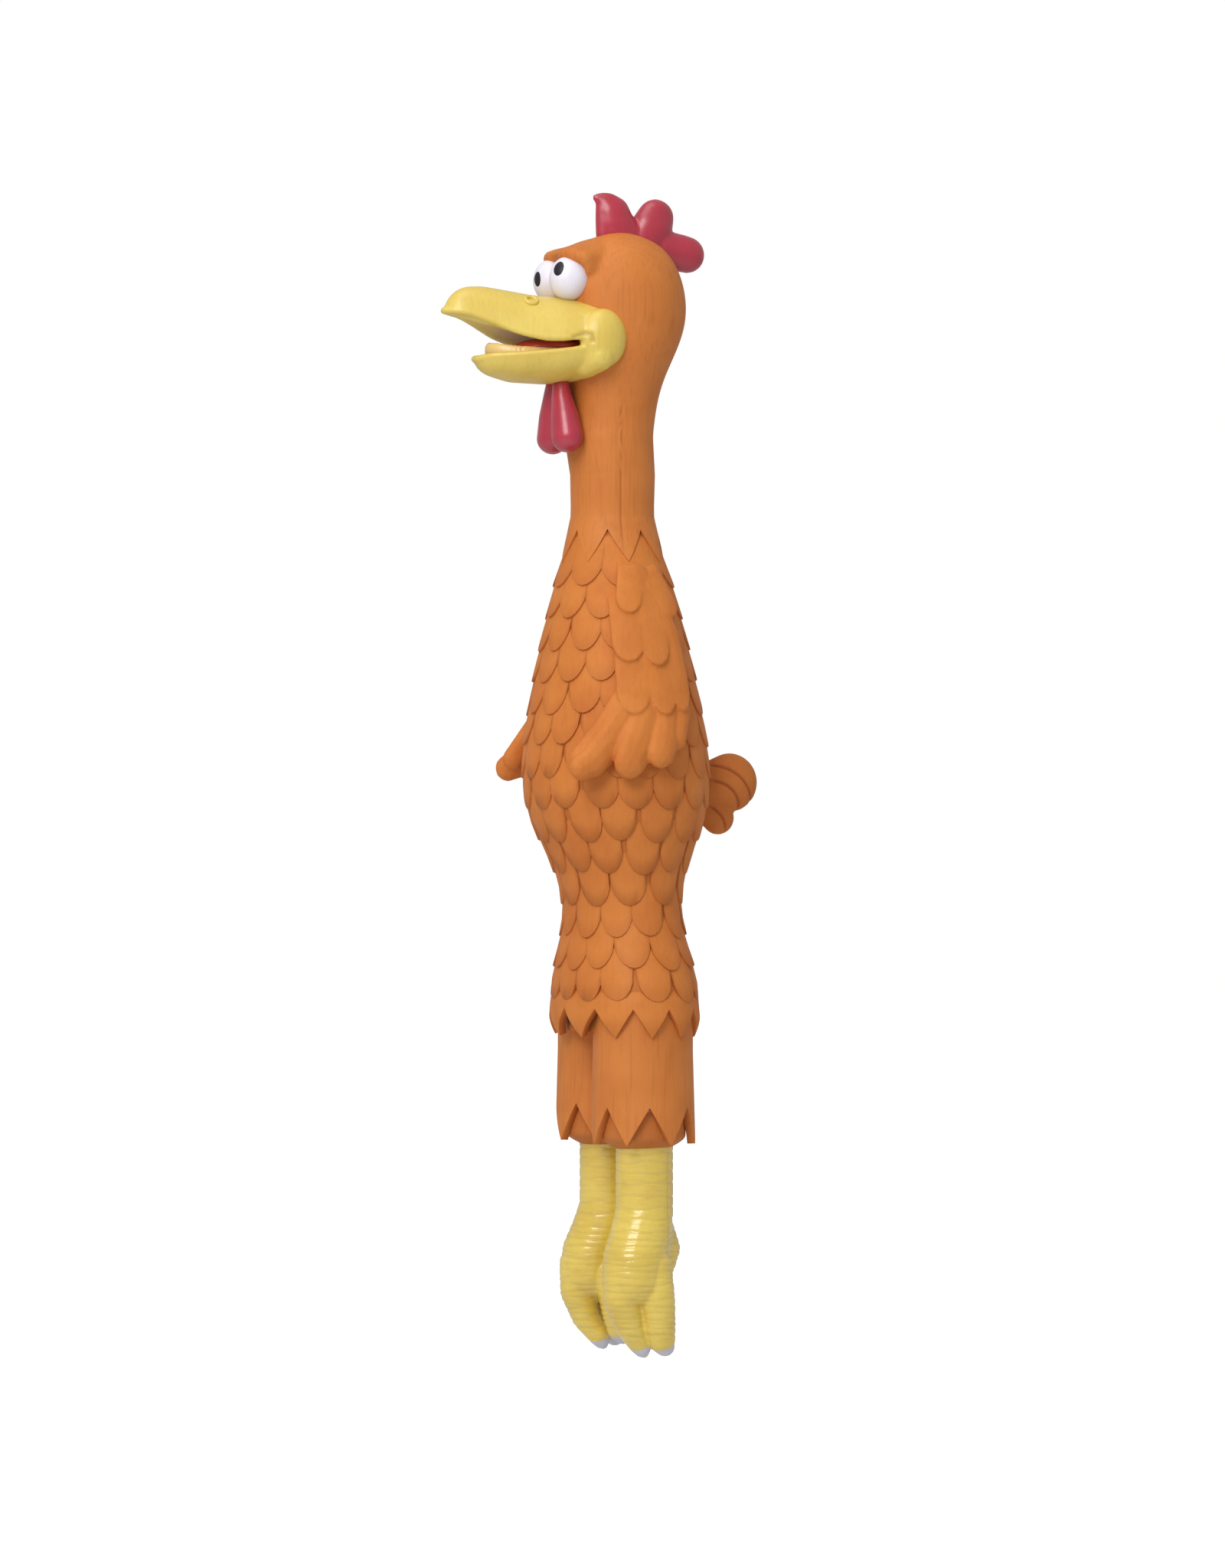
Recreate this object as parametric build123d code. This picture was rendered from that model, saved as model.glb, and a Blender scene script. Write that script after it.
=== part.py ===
from build123d import *
import math
import os

# A rubber chicken: a hollow cast-latex bird, stuffed with fibre round a squeaker, that hangs from
# the hand by its neck with its toes pointing down. Millimetres, +Z up. The beak points along -Y and
# the bird's left is +X. The origin is on the neck's axis, where the hand closes round it.
# The latex is one casting on the real toy. Here it is cut at each place where it bends, and each
# bend is a ball in a socket that stands for the flexing skin.

# ---- driving dimensions -------------------------------------------------------------------------
WALL = 1.8                  # latex thickness of the large castings
THIN_WALL = 1.4             # latex thickness of the shanks and the beak
SKIM = 0.05                 # gap between two castings that are glued or painted together
GAP = 0.35                  # running gap of a ball in its socket
FAR = 200.0                 # longer than anything that is cut

NECK_R = 14.6
NOD_Z = 6.0                 # the neck bends forwards and back here
NOD_RIM = 4.6               # half the height of the band that the nod needs
SWAY_Z = 19.0               # and sideways here
SWAY_RIM = 2.7

HIPS_Y = 4.5                # the hips hang a little behind the neck
LEG_X = 15.0
LEG_SPLIT = 0.3             # each leg stays this far from the middle plane
THIGH_R = 16.6
HIP_Z = -189.0
HIP_RIM = 4.6
SHANK_R = 9.2
ANKLE_Z = -226.5
ANKLE_RIM = 3.6
FOOT_TOP_Z = -243.0
FOOT_FLOOR_Z = -266.0       # the filling ends here
TOE_Z = -283.0              # where the claws begin
CLAW_LENGTH = 6.6

COLLAR_RISE = 1.2           # how far the collar of pointed feathers stands off the neck
COLLAR_HEM_Z = -16.8
COLLAR_POINTS, SKIRT_POINTS, TROUSER_POINTS = 8, 12, 7
COLLAR_TURN, SKIRT_TURN, TROUSER_TURN = -31, -26, -16  # degrees from +X to a notch of each hem

WAIST_FLOOR_Z = -167.0      # underside of the web that closes the torso inside the skirt
SKIRT_HEM_Z = -181.3
THIGH_FLOOR_Z = -206.5
THIGH_HEM_Z = -218.0
WING_SPLIT_Z = -62.0
WING_SLIT = 0.5             # the wing's tip bends off its shoulder across this slit
TAIL_PIVOT = (0, 39.0, -96.0)
TAIL_R = 4.5                # barrel that the tail bends on
TAIL_RIM = 2.4              # how far ahead of the pivot the boss ends
JAW_PIVOT = (0, -17.0, 51.0)
JAW_R = 6.4
JAW_CLEARANCE = 2.2         # room behind the lower beak for it to swing
MOUTH_FLOOR_Z = 51.2
BEAK_HOLLOW = 2.6           # wall left round the palate and the trough of the lower beak
REBATE = 0.4
SQUEAKER_Y, SQUEAKER_Z = 1.0, -96.0
SQUEAKER_R = 12.0
SQUEAKER_WALL = 1.2
SQUEAKER_FOLDS = 3

# Cross-sections from the top down: (height, half width, half depth, how far behind the neck)
TORSO = [
    (1.4, 14.6, 14.6, 0), (-8, 16.8, 16.2, 0), (-29, 23.5, 20.8, 0.3), (-50, 29, 25.6, 0.6),
    (-71, 32.5, 29.7, 0.9), (-92, 34, 31.5, 1.2), (-105, 32.5, 29.3, 1.8), (-120, 27.2, 23, 2.8),
    (-134, 25, 19.3, 3.4), (-150, 28.4, 21, 4), (-166, 33, 23, 4.4), (-181.3, 34.6, 23.2, HIPS_Y),
]
HEAD = [
    (SWAY_Z + SWAY_RIM, 14.6, 14.6, 0), (34, 15, 14.8, 0), (45, 17, 17, 0.5), (55, 19.5, 20.3, 1.6),
    (66, 21, 22.5, 3), (76, 20.8, 22.3, 3), (86, 17.5, 18.8, 3), (93, 11, 12, 3), (96.5, 3, 3.2, 3),
]
# Beak sections from the face to the tip: (depth along Y, height of the lip, half width, height)
UPPER_BEAK = [(-12, 59.8, 21.5, 16.5), (-25, 58.8, 18.2, 17), (-40, 62.7, 12.5, 14.5),
              (-52, 67, 7.5, 11.5), (-60, 68.3, 4.4, 7.4), (-64, 69, 1.4, 2)]
LOWER_BEAK = [(-12, 57.6, 21, 12), (-25, 55.3, 17.6, 11.3), (-38, 54, 12.6, 9.2),
              (-48, 53.6, 7.6, 5.8), (-52.5, 53.2, 2.6, 2)]
# How far the wing stands off the torso at each of the torso's heights, outside and inside
WING_OUTSIDE = [0.8, 2, 3.2, 3.8, 5.6, 11.3, 12] + [12] * 5
WING_INSIDE = [0.2, 0.2, 0.2, 0.2, 0.9, 3.2, 3.6] + [3.6] * 5
# Side outlines, as (Y, Z) points
WING_OUTLINE = [(1, -17.6), (-6, -24), (-10.6, -36), (-12, -62), (-17, -75), (-27, -88), (-26, -93),
                (-18, -93), (-10, -91), (-2, -93.5), (5, -90), (11, -89), (17, -80), (19, -62),
                (14, -38), (9, -24)]
COMB_OUTLINE = [(-6.5, 92), (-5.8, 97), (-7.4, 108.8), (-1.4, 110.6), (4.3, 109), (8.4, 103.8),
                (12.5, 107.6), (17, 108), (21.5, 105), (23.4, 99.5), (28, 96.3), (33, 93.5),
                (34.6, 89), (32.5, 84.5), (27.4, 82.6), (22.5, 86)]
COMB_THICKNESS = 8.4


# ---- shape helpers ------------------------------------------------------------------------------
def tube(stations, grow=0.0):
    """A smooth solid through level ellipses; grow moves its skin out, or in where negative."""
    grows = grow if isinstance(grow, list) else [grow] * len(stations)
    rings = [Pos(0, y, z) * Ellipse(a + g, b + g) for (z, a, b, y), g in zip(stations, grows)]
    return loft(rings)


def level(bottom, top):
    """Everything between two heights."""
    return Pos(0, 0, (bottom + top) / 2) * Box(FAR, FAR, top - bottom)


def rod(x, y, bottom, top, radius, top_radius=None):
    """An upright cylinder or cone."""
    middle = Pos(x, y, (bottom + top) / 2)
    if top_radius is None:
        return middle * Cylinder(radius, top - bottom)
    return middle * Cone(radius, top_radius, top - bottom)


def ball(centre, radius):
    return Pos(*centre) * Sphere(radius)


def egg(centre, half_sizes):
    return Pos(*centre) * scale(Sphere(1), by=half_sizes)


def barrel(centre, radius):
    """A cylinder across the bird, for hinges that turn about X."""
    return Pos(*centre) * Rot(0, 90, 0) * Cylinder(radius, FAR)


def side_plate(points, low_x, high_x, smooth=False):
    """A side outline of (Y, Z) points, as thick as from low_x to high_x."""
    across = Plane(origin=(low_x, 0, 0), x_dir=(0, 1, 0), z_dir=(1, 0, 0))
    if smooth:
        edge = Spline(*points, periodic=True)
    else:
        edge = Polyline(*points, close=True)
    return extrude(across * make_face(Wire([edge]) if smooth else edge.wire()), high_x - low_x)


def half_shell(stations, up, thin=0.0):
    """A solid through half ellipses that stand across the beak, above or below its lip."""
    faces = []
    for y, lip, half_width, height in stations:
        a, b = half_width - thin, height - thin
        start = 0 if up else 180
        arc = EllipticalCenterArc((0, 0), a, b, start_angle=start, arc_size=180)
        outline = Wire([arc, Line(arc @ 1, arc @ 0)])
        plane = Plane(origin=(0, y, lip), x_dir=(1, 0, 0), z_dir=(0, -1, 0))
        faces.append(plane * make_face(outline))
    return loft(faces)


def hollowed(beak, stations, up):
    """Takes the room out of a beak half, with a small rebate cut round the inside of its lip."""
    into = REBATE if up else -REBATE
    rebate = [(y, lip + into, a - BEAK_HOLLOW + REBATE, 4 + REBATE) for y, lip, a, _ in stations]
    return beak - half_shell(stations, up, BEAK_HOLLOW) - half_shell(rebate, not up)


def left_half():
    """Everything on the bird's left that isn't within the split between the legs."""
    return Pos(FAR / 2 + LEG_SPLIT, 0, 0) * Box(FAR, FAR, 4 * FAR)


def notched(ring, teeth, first_turn, hem, apex, half_width, half_depth, y):
    """Cuts V notches into a ring's lower edge, so that pointed feathers are left."""
    pitch = 2 * math.pi / teeth
    for i in range(teeth):
        turn = i * pitch + math.radians(first_turn)
        x, dy = half_width * math.cos(turn), half_depth * math.sin(turn)
        spread = math.hypot(half_width * math.sin(turn), half_depth * math.cos(turn)) * pitch / 2
        facing = math.degrees(math.atan2(half_width * math.sin(turn), half_depth * math.cos(turn)))
        low = hem - 0.5
        notch = Polyline((-spread, low), (spread, low), (0, apex), close=True)
        upright = Plane(origin=(x, y + dy, 0), x_dir=Vector(0, 1, 0).rotate(Axis.Z, facing),
                        z_dir=Vector(1, 0, 0).rotate(Axis.Z, facing))
        ring -= extrude(upright * make_face(notch.wire()), 6, both=True)
    return ring


def skin_and_filling(full, core):
    """Splits a full shape into its latex skin and the fibre that fills it."""
    return full - core, full & core


nodes = {}


def add(name, shape):
    nodes[name] = shape


def add_pair(name, shape):
    """A piece on the bird's left, and its mirror image on the right."""
    add("left_" + name, shape)
    add("right_" + name, mirror(shape, about=Plane.YZ))


# ---- head ---------------------------------------------------------------------------------------
sway_centre = (0, 0, SWAY_Z)
ball_r = NECK_R - 0.6
head_full = tube(HEAD) + ball(sway_centre, ball_r)
crown = HEAD[:-1] + [(HEAD[-1][0] - WALL, *HEAD[-1][1:])]
head_core = tube(crown, -WALL) + ball(sway_centre, ball_r - WALL)
head_skin, head_filling = skin_and_filling(head_full, head_core)
add("head_skin", head_skin)
add("head_stuffing", head_filling)
add("comb", side_plate(COMB_OUTLINE, -COMB_THICKNESS / 2, COMB_THICKNESS / 2, smooth=True)
    - tube(HEAD, SKIM))

# ---- beak ---------------------------------------------------------------------------------------
face = tube(HEAD, SKIM)
upper_full = half_shell(UPPER_BEAK, up=True)
upper_beak = hollowed(upper_full, UPPER_BEAK[:-1], up=True) - face
jaw_barrel = barrel(JAW_PIVOT, JAW_R)
ahead_of_jaw = Pos(0, JAW_PIVOT[1] - FAR / 2, 0) * Box(FAR, FAR, FAR)
lower_full = half_shell(LOWER_BEAK, up=False)
trough = half_shell(LOWER_BEAK[:-1], up=False, thin=BEAK_HOLLOW)
jaw_shape = lower_full & (ahead_of_jaw + jaw_barrel)
mouth = side_plate([(-14, 58.2), (-44, 66), (-44, 53)], -FAR / 2, FAR / 2)
cheeks = (egg((0, -8, 58.6), (23.2, 12.6, 12.6)) - face - upper_full - mouth
          - barrel(JAW_PIVOT, JAW_R + GAP)
          - Pos(0, JAW_PIVOT[1] - 1.0 - FAR / 2, JAW_PIVOT[2] - FAR / 2 + 7) * Box(FAR, FAR, FAR))
add("upper_beak", upper_beak)
add("beak_cheeks", cheeks)
jaw_clear = tube(HEAD, JAW_CLEARANCE)
add("lower_beak", hollowed(jaw_shape, LOWER_BEAK[:-1], up=False) - jaw_clear)
below_lining = level(-FAR, MOUTH_FLOOR_Z)
add("mouth_lining", (trough & below_lining) - jaw_clear)
add("tongue", egg((0, -28, 52.2), (7.4, 9.6, 4)) - below_lining - jaw_clear)
ring = Ellipse(12.3, 31.6) - Ellipse(10.8, 30.1)
ridge = Pos(0, -14, MOUTH_FLOOR_Z) * extrude(ring, 5.2)
add("lower_lip_ridge", ridge & (Pos(0, -25 - FAR / 2, 0) * Box(FAR, FAR, FAR)))
nostril = Pos(9.8, -34.7, 72.9) * Rot(0, 0, -22) * Rot(0, 62, 0) * Torus(2.1, 0.8)
add_pair("nostril", nostril - upper_full)

# ---- eyes, brows and wattles --------------------------------------------------------------------
eye_left = egg((6.95, -19.2, 80.6), (6.7, 6.8, 7.6)) - face - upper_full
pupil_left = egg((10.1, -23.6, 83.6), (1.5, 2.2, 2.5))
eye_right = egg((-6.95, -19.2, 80.6), (6.7, 6.8, 7.6)) - face - upper_full
pupil_right = egg((-5.4, -25.0, 80.9), (1.5, 1.6, 2.5))
add("left_eye", eye_left)
add("right_eye", eye_right)
add("left_pupil", pupil_left - egg((6.95, -19.2, 80.6), (6.7, 6.8, 7.6)))
add("right_pupil", pupil_right - egg((-6.95, -19.2, 80.6), (6.7, 6.8, 7.6)))
brow = Pos(9.8, -14.8, 88.4) * Rot(0, 24, 34) * scale(Sphere(1), by=(9.2, 6.2, 3.6))
add_pair("brow", (brow - face - egg((6.95, -19.2, 80.6), (6.75, 6.85, 7.65)))
         & (Pos(FAR / 2 + 0.1, 0, 0) * Box(FAR, FAR, 2 * FAR)))
lobe = rod(6.2, -20.2, 28, 41.4, 6.0, 3.0) + ball((6.2, -20.2, 27.2), 6.1)
add_pair("wattle", lobe - tube(HEAD, SKIM))

# ---- the middle of the neck ---------------------------------------------------------------------
nod_centre = (0, 0, NOD_Z)
neck_full = (rod(0, 0, NOD_Z + NOD_RIM, SWAY_Z - SWAY_RIM, NECK_R) + ball(nod_centre, ball_r)
             - ball(sway_centre, ball_r + GAP))
neck_core = rod(0, 0, NOD_Z - ball_r / 2, SWAY_Z, NECK_R - 2 * WALL)
neck_skin, neck_filling = skin_and_filling(neck_full, neck_core)
add("neck_skin", neck_skin)
add("neck_stuffing", neck_filling)

# ---- torso, collar and skirt --------------------------------------------------------------------
nod_socket = ball(nod_centre, ball_r + GAP)
torso_full = (tube(TORSO) & level(WAIST_FLOOR_Z, 1.4)) - nod_socket
torso_core = tube(TORSO, -WALL)
torso_skin = torso_full - torso_core
pocket = rod(0, SQUEAKER_Y, SQUEAKER_Z - 8, SQUEAKER_Z + 14, SQUEAKER_R + 1)
torso_filling = (torso_full & torso_core) - pocket
add("torso_skin", torso_skin)
add("torso_stuffing", torso_filling - level(WAIST_FLOOR_Z - 1, WAIST_FLOOR_Z + WALL))

rump = tube(TORSO, SKIM)
collar = (tube(TORSO, COLLAR_RISE) - rump) & level(COLLAR_HEM_Z, COLLAR_HEM_Z + 13.3)
add("neck_collar", notched(collar, COLLAR_POINTS, COLLAR_TURN, COLLAR_HEM_Z, COLLAR_HEM_Z + 9.8,
                           18.5, 17.5, 0))
skirt = (tube(TORSO) - torso_core) & level(SKIRT_HEM_Z, WAIST_FLOOR_Z)
add("skirt_hem", notched(skirt, SKIRT_POINTS, SKIRT_TURN, SKIRT_HEM_Z, SKIRT_HEM_Z + 11.8,
                         34, 23, HIPS_Y))

# ---- hips: the web inside the skirt, and the roots of the thighs --------------------------------
hip_centre = (LEG_X, HIPS_Y, HIP_Z)
hip_ball_r = THIGH_R - 0.6
web = torso_core & level(WAIST_FLOOR_Z, WAIST_FLOOR_Z + WALL)
root_top = WAIST_FLOOR_Z
left_root = rod(LEG_X, HIPS_Y, HIP_Z + HIP_RIM, root_top, THIGH_R)
skirt_wall = rump - tube(TORSO, -WALL - SKIM)
root_full = left_root + mirror(left_root, about=Plane.YZ) - skirt_wall
hip_sockets = ball(hip_centre, hip_ball_r + GAP)
hip_sockets += mirror(hip_sockets, about=Plane.YZ)
left_root_core = rod(LEG_X, HIPS_Y, HIP_Z, root_top, THIGH_R - WALL)
root_core = left_root_core + mirror(left_root_core, about=Plane.YZ)
add("hip_web", web + (root_full - root_core - hip_sockets))
add("hip_stuffing", (root_full & root_core) - hip_sockets)

# ---- legs ---------------------------------------------------------------------------------------
shank_centre = (LEG_X, HIPS_Y, ANKLE_Z)
shank_ball_r = SHANK_R - 0.5
thigh_top = HIP_Z - HIP_RIM
thigh_full = rod(LEG_X, HIPS_Y, THIGH_FLOOR_Z, thigh_top, THIGH_R) + ball(hip_centre, hip_ball_r)
thigh_core = (rod(LEG_X, HIPS_Y, THIGH_FLOOR_Z + WALL, thigh_top, THIGH_R - WALL)
              + ball(hip_centre, hip_ball_r - WALL))
thigh_full &= left_half()
thigh_core &= Pos(WALL, 0, 0) * left_half()
thigh_skin, thigh_filling = skin_and_filling(thigh_full, thigh_core)
add_pair("thigh_skin", thigh_skin)
add_pair("thigh_stuffing", thigh_filling)
hem_top = THIGH_FLOOR_Z
hem = (rod(LEG_X, HIPS_Y, THIGH_HEM_Z, hem_top, THIGH_R + 0.9, THIGH_R)
       - rod(LEG_X, HIPS_Y, THIGH_HEM_Z, hem_top, THIGH_R - 0.9, THIGH_R - WALL)) & left_half()
hem = Pos(LEG_X, HIPS_Y, 0) * notched(
    Pos(-LEG_X, -HIPS_Y, 0) * hem, TROUSER_POINTS, TROUSER_TURN, THIGH_HEM_Z, THIGH_FLOOR_Z - 1.6,
    THIGH_R, THIGH_R, 0)
add_pair("thigh_hem", hem)
root = (rod(LEG_X, HIPS_Y, ANKLE_Z + ANKLE_RIM, THIGH_FLOOR_Z, SHANK_R)
        - ball(shank_centre, shank_ball_r + GAP))
add_pair("shank_root", root)

shank = rod(LEG_X, HIPS_Y, FOOT_TOP_Z, ANKLE_Z - ANKLE_RIM, SHANK_R)
shank += ball(shank_centre, shank_ball_r)
marrow = rod(LEG_X, HIPS_Y, FOOT_TOP_Z, ANKLE_Z, SHANK_R - THIN_WALL)
add_pair("shank_skin", shank - marrow)

instep = egg((LEG_X, HIPS_Y - 0.3, -256.5), (10.6, 13.6, 19))
spur = rod(LEG_X, HIPS_Y + 9.5, -262, -251, 4.2) + ball((LEG_X, HIPS_Y + 9.5, -251), 4.2)
foot = instep + spur
toes = []
for dx, dy, lift in ((0, -1.5, 0), (7, 4.5, 1.5), (-7, 4.5, 1.5)):
    x, y, tip = LEG_X + dx, HIPS_Y + dy, TOE_Z + lift
    foot += rod(x, y, tip, -255, 4.2, 6.4)
    toes.append(rod(x, y, tip - CLAW_LENGTH, tip, 1.4, 3.6))
foot &= level(-FAR * 2, FOOT_TOP_Z)
foot_hollow = rod(LEG_X, HIPS_Y, FOOT_FLOOR_Z, ANKLE_Z, SHANK_R - THIN_WALL)
add_pair("foot_skin", foot - foot_hollow)
add_pair("foot_stuffing", foot_hollow)
add_pair("claws", Compound(children=toes))

# ---- wings --------------------------------------------------------------------------------------
wing = tube(TORSO, WING_OUTSIDE) - tube(TORSO, WING_INSIDE)
wing &= side_plate(WING_OUTLINE, 8, 60)
add_pair("wing_shoulder", wing & level(WING_SPLIT_Z + WING_SLIT / 2, 10))
add_pair("wing_tip", wing & level(-FAR, WING_SPLIT_Z - WING_SLIT / 2))

# ---- tail ---------------------------------------------------------------------------------------
def disc(y, z, radius, thickness):
    return Pos(0, y, z) * Rot(0, 90, 0) * Cylinder(radius, thickness)


pivot_y, pivot_z = TAIL_PIVOT[1:]


def behind(y):
    """Everything further back than y."""
    return Pos(0, y + FAR / 2, pivot_z) * Box(FAR, FAR, 2 * FAR)


boss = disc(pivot_y - 3, pivot_z, TAIL_R + 2.8, 12) - behind(pivot_y - TAIL_RIM)
add("tail_root", boss - rump - barrel(TAIL_PIVOT, TAIL_R + GAP))
lobes = disc(44, -92.8, 10.2, 13) + disc(40, -104.6, 6.3, 11)
add("tail_fan", (lobes & behind(pivot_y - 0.4)) + disc(pivot_y, pivot_z, TAIL_R, 12))

# ---- squeaker, in its pocket in the stuffing ----------------------------------------------------
base_floor, base_rim = SQUEAKER_Z - 7, SQUEAKER_Z - 1
reed_foot = base_floor + SQUEAKER_WALL
reed_height = base_rim - reed_foot
bellows_top = SQUEAKER_Z + 9


def squeaker_disc(bottom, top, radius):
    return rod(0, SQUEAKER_Y, bottom, top, radius)


def reed_plate(width, thickness):
    return Pos(0, SQUEAKER_Y, reed_foot + reed_height / 2) * Box(width, thickness, reed_height)


add("squeaker_base", squeaker_disc(base_floor, base_rim, SQUEAKER_R)
    - squeaker_disc(reed_foot, base_rim, SQUEAKER_R - SQUEAKER_WALL))
add("squeaker_reed_plug", squeaker_disc(reed_foot, base_rim, 3.4) - reed_plate(2.2, 0.5))
add("squeaker_reed", reed_plate(2.0, 0.2))
fold = (bellows_top - base_rim) / SQUEAKER_FOLDS
outer = [(SQUEAKER_R - 1.0, base_rim)]
for i in range(SQUEAKER_FOLDS):
    outer += [(SQUEAKER_R, base_rim + (i + 0.5) * fold), (SQUEAKER_R - 1.4, base_rim + (i + 1) * fold)]
inner = [(r - 0.9, z) for r, z in reversed(outer)]
fold_outline = Polyline(*[(r, 0, z) for r, z in outer + inner], close=True)
add("squeaker_bellows", Pos(0, SQUEAKER_Y, 0) * revolve(make_face(fold_outline.wire()), Axis.Z))
add("squeaker_cap", squeaker_disc(bellows_top, bellows_top + 2.4, SQUEAKER_R - 0.6))

os.makedirs("parts", exist_ok=True)
for name, shape in nodes.items():
    solids = shape.solids()
    export_step(solids[0] if len(solids) == 1 else Compound(children=list(solids)), f"parts/{name}.step")
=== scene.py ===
# %% [markdown]
# # A rubber chicken, cast in latex and painted by hand
#
# The toy is one hollow latex casting. A plaster mould gives it feathers, scales and grooves, and the
# paint goes on afterwards: orange all over, mustard for the beak, glossy yellow for the legs, crimson
# for the comb and wattles. The imported model already knows how it bends. Some pieces made here are
# parented to an empty named after one of its bodies, and the rest are left where they are built.

# %% Load the frame
import math
import random

import bpy
import numpy as np
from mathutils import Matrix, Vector
from mathutils.bvhtree import BVHTree


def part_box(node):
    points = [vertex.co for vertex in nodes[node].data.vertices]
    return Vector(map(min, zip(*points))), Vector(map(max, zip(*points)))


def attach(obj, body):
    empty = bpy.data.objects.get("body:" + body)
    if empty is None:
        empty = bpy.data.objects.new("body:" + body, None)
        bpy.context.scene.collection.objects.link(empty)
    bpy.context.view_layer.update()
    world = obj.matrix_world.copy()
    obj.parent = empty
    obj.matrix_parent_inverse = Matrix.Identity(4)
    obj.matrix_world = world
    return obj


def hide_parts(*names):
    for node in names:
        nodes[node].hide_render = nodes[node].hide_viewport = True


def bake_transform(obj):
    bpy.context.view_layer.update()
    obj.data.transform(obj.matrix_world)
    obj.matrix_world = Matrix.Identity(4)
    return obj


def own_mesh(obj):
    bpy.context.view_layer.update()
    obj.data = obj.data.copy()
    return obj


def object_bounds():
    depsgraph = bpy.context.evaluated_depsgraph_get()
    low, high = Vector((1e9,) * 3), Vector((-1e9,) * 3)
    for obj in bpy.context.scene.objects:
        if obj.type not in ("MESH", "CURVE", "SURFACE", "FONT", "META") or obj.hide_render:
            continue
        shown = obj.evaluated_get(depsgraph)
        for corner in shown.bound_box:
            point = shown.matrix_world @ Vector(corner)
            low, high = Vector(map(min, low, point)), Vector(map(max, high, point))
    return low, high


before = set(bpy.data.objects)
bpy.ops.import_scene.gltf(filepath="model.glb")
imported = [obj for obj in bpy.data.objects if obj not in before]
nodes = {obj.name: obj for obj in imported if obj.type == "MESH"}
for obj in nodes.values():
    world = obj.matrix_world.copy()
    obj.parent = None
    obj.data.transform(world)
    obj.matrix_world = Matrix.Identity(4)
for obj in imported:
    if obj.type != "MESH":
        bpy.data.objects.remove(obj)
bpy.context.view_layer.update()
MM = 0.001
rng = random.Random(7)


# %% [markdown]
# ## Tools of the bench
#
# Almost every piece starts as a primitive and ends as a soft, closed form. Three habits make that
# easy. `only` clears the selection before each operator, because an operator acts on all that is
# selected. `rolled` bends a flat grid into a tube, which suits a neck, a leg or a skirt. `melted`
# runs a string of spheres together with a voxel remesh, which is how a sculptor works with pellets
# of clay, and it suits a comb, a brow or a foot.

# %% Selecting, reading and moving
def only(*objects):
    """Selects these objects and nothing else, and makes the first one active."""
    bpy.ops.object.select_all(action="DESELECT")
    for o in objects:
        o.select_set(True)
    bpy.context.view_layer.objects.active = objects[0]
    return objects[0]


def points(obj):
    """Every vertex of a mesh, in millimetres."""
    flat = np.empty(len(obj.data.vertices) * 3)
    obj.data.vertices.foreach_get("co", flat)
    return flat.reshape(-1, 3) / MM


def move(obj, places):
    """Puts every vertex at its new place, in millimetres."""
    obj.data.vertices.foreach_set("co", (np.asarray(places) * MM).ravel())
    obj.data.update()


def made(name):
    """Names the object that an operator has just added."""
    obj = bpy.context.active_object
    obj.name = obj.data.name = name
    return obj


def apply(obj, kind, **settings):
    """Adds a modifier, sets it and applies it."""
    only(obj)
    modifier = obj.modifiers.new(kind.title(), kind)
    for key, value in settings.items():
        setattr(modifier, key, value)
    bpy.ops.object.modifier_apply(modifier=modifier.name)
    return obj


def joined(name, pieces):
    """Makes one object of several and names it."""
    only(*pieces)
    if len(pieces) > 1:
        bpy.ops.object.join()
    return made(name)


def in_edit_mode(obj, *steps):
    """Runs edit-mode operators on the whole mesh, each given as (operator, settings)."""
    only(obj)
    bpy.ops.object.mode_set(mode="EDIT")
    bpy.ops.mesh.select_mode(type="VERT")
    bpy.ops.mesh.select_all(action="SELECT")
    for operator, settings in steps:
        operator(**settings)
    bpy.ops.object.mode_set(mode="OBJECT")
    return obj


def tidy_shell(obj, close=True):
    """Merges doubles, closes open ends and turns every face outwards."""
    steps = [(bpy.ops.mesh.remove_doubles, {"threshold": 0.000001})]
    if close:
        steps += [(bpy.ops.mesh.select_all, {"action": "SELECT"}),
                  (bpy.ops.mesh.fill_holes, {"sides": 0})]
    steps += [(bpy.ops.mesh.select_all, {"action": "SELECT"}),
              (bpy.ops.mesh.normals_make_consistent, {"inside": False})]
    return in_edit_mode(obj, *steps)


def shade(obj, angle=50):
    """Smooth shading, with an edge left sharp where faces meet at more than the angle."""
    only(obj)
    bpy.ops.object.shade_smooth_by_angle(angle=math.radians(angle))
    return obj


# %% Rolling a grid, melting spheres together
def rolled(name, around, along, place, close=True):
    """A grid rolled into a tube: place(turn, share) gives its points in millimetres."""
    bpy.ops.object.select_all(action="DESELECT")
    bpy.ops.mesh.primitive_grid_add(x_subdivisions=around, y_subdivisions=along, size=1)
    obj = made(name)
    flat = points(obj) * MM
    move(obj, np.stack(place((flat[:, 0] + 0.5) * 2 * math.pi, flat[:, 1] + 0.5), axis=1))
    return tidy_shell(obj, close)


def string(*beads, step=1.0):
    """Beads (x, y, z, radius), with more put between them so that they run together."""
    out = [beads[0]]
    for a, b in zip(beads, beads[1:]):
        n = max(1, int(math.dist(a[:3], b[:3]) / step))
        out += [tuple(p + (q - p) * i / n for p, q in zip(a, b)) for i in range(1, n + 1)]
    return out


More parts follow.
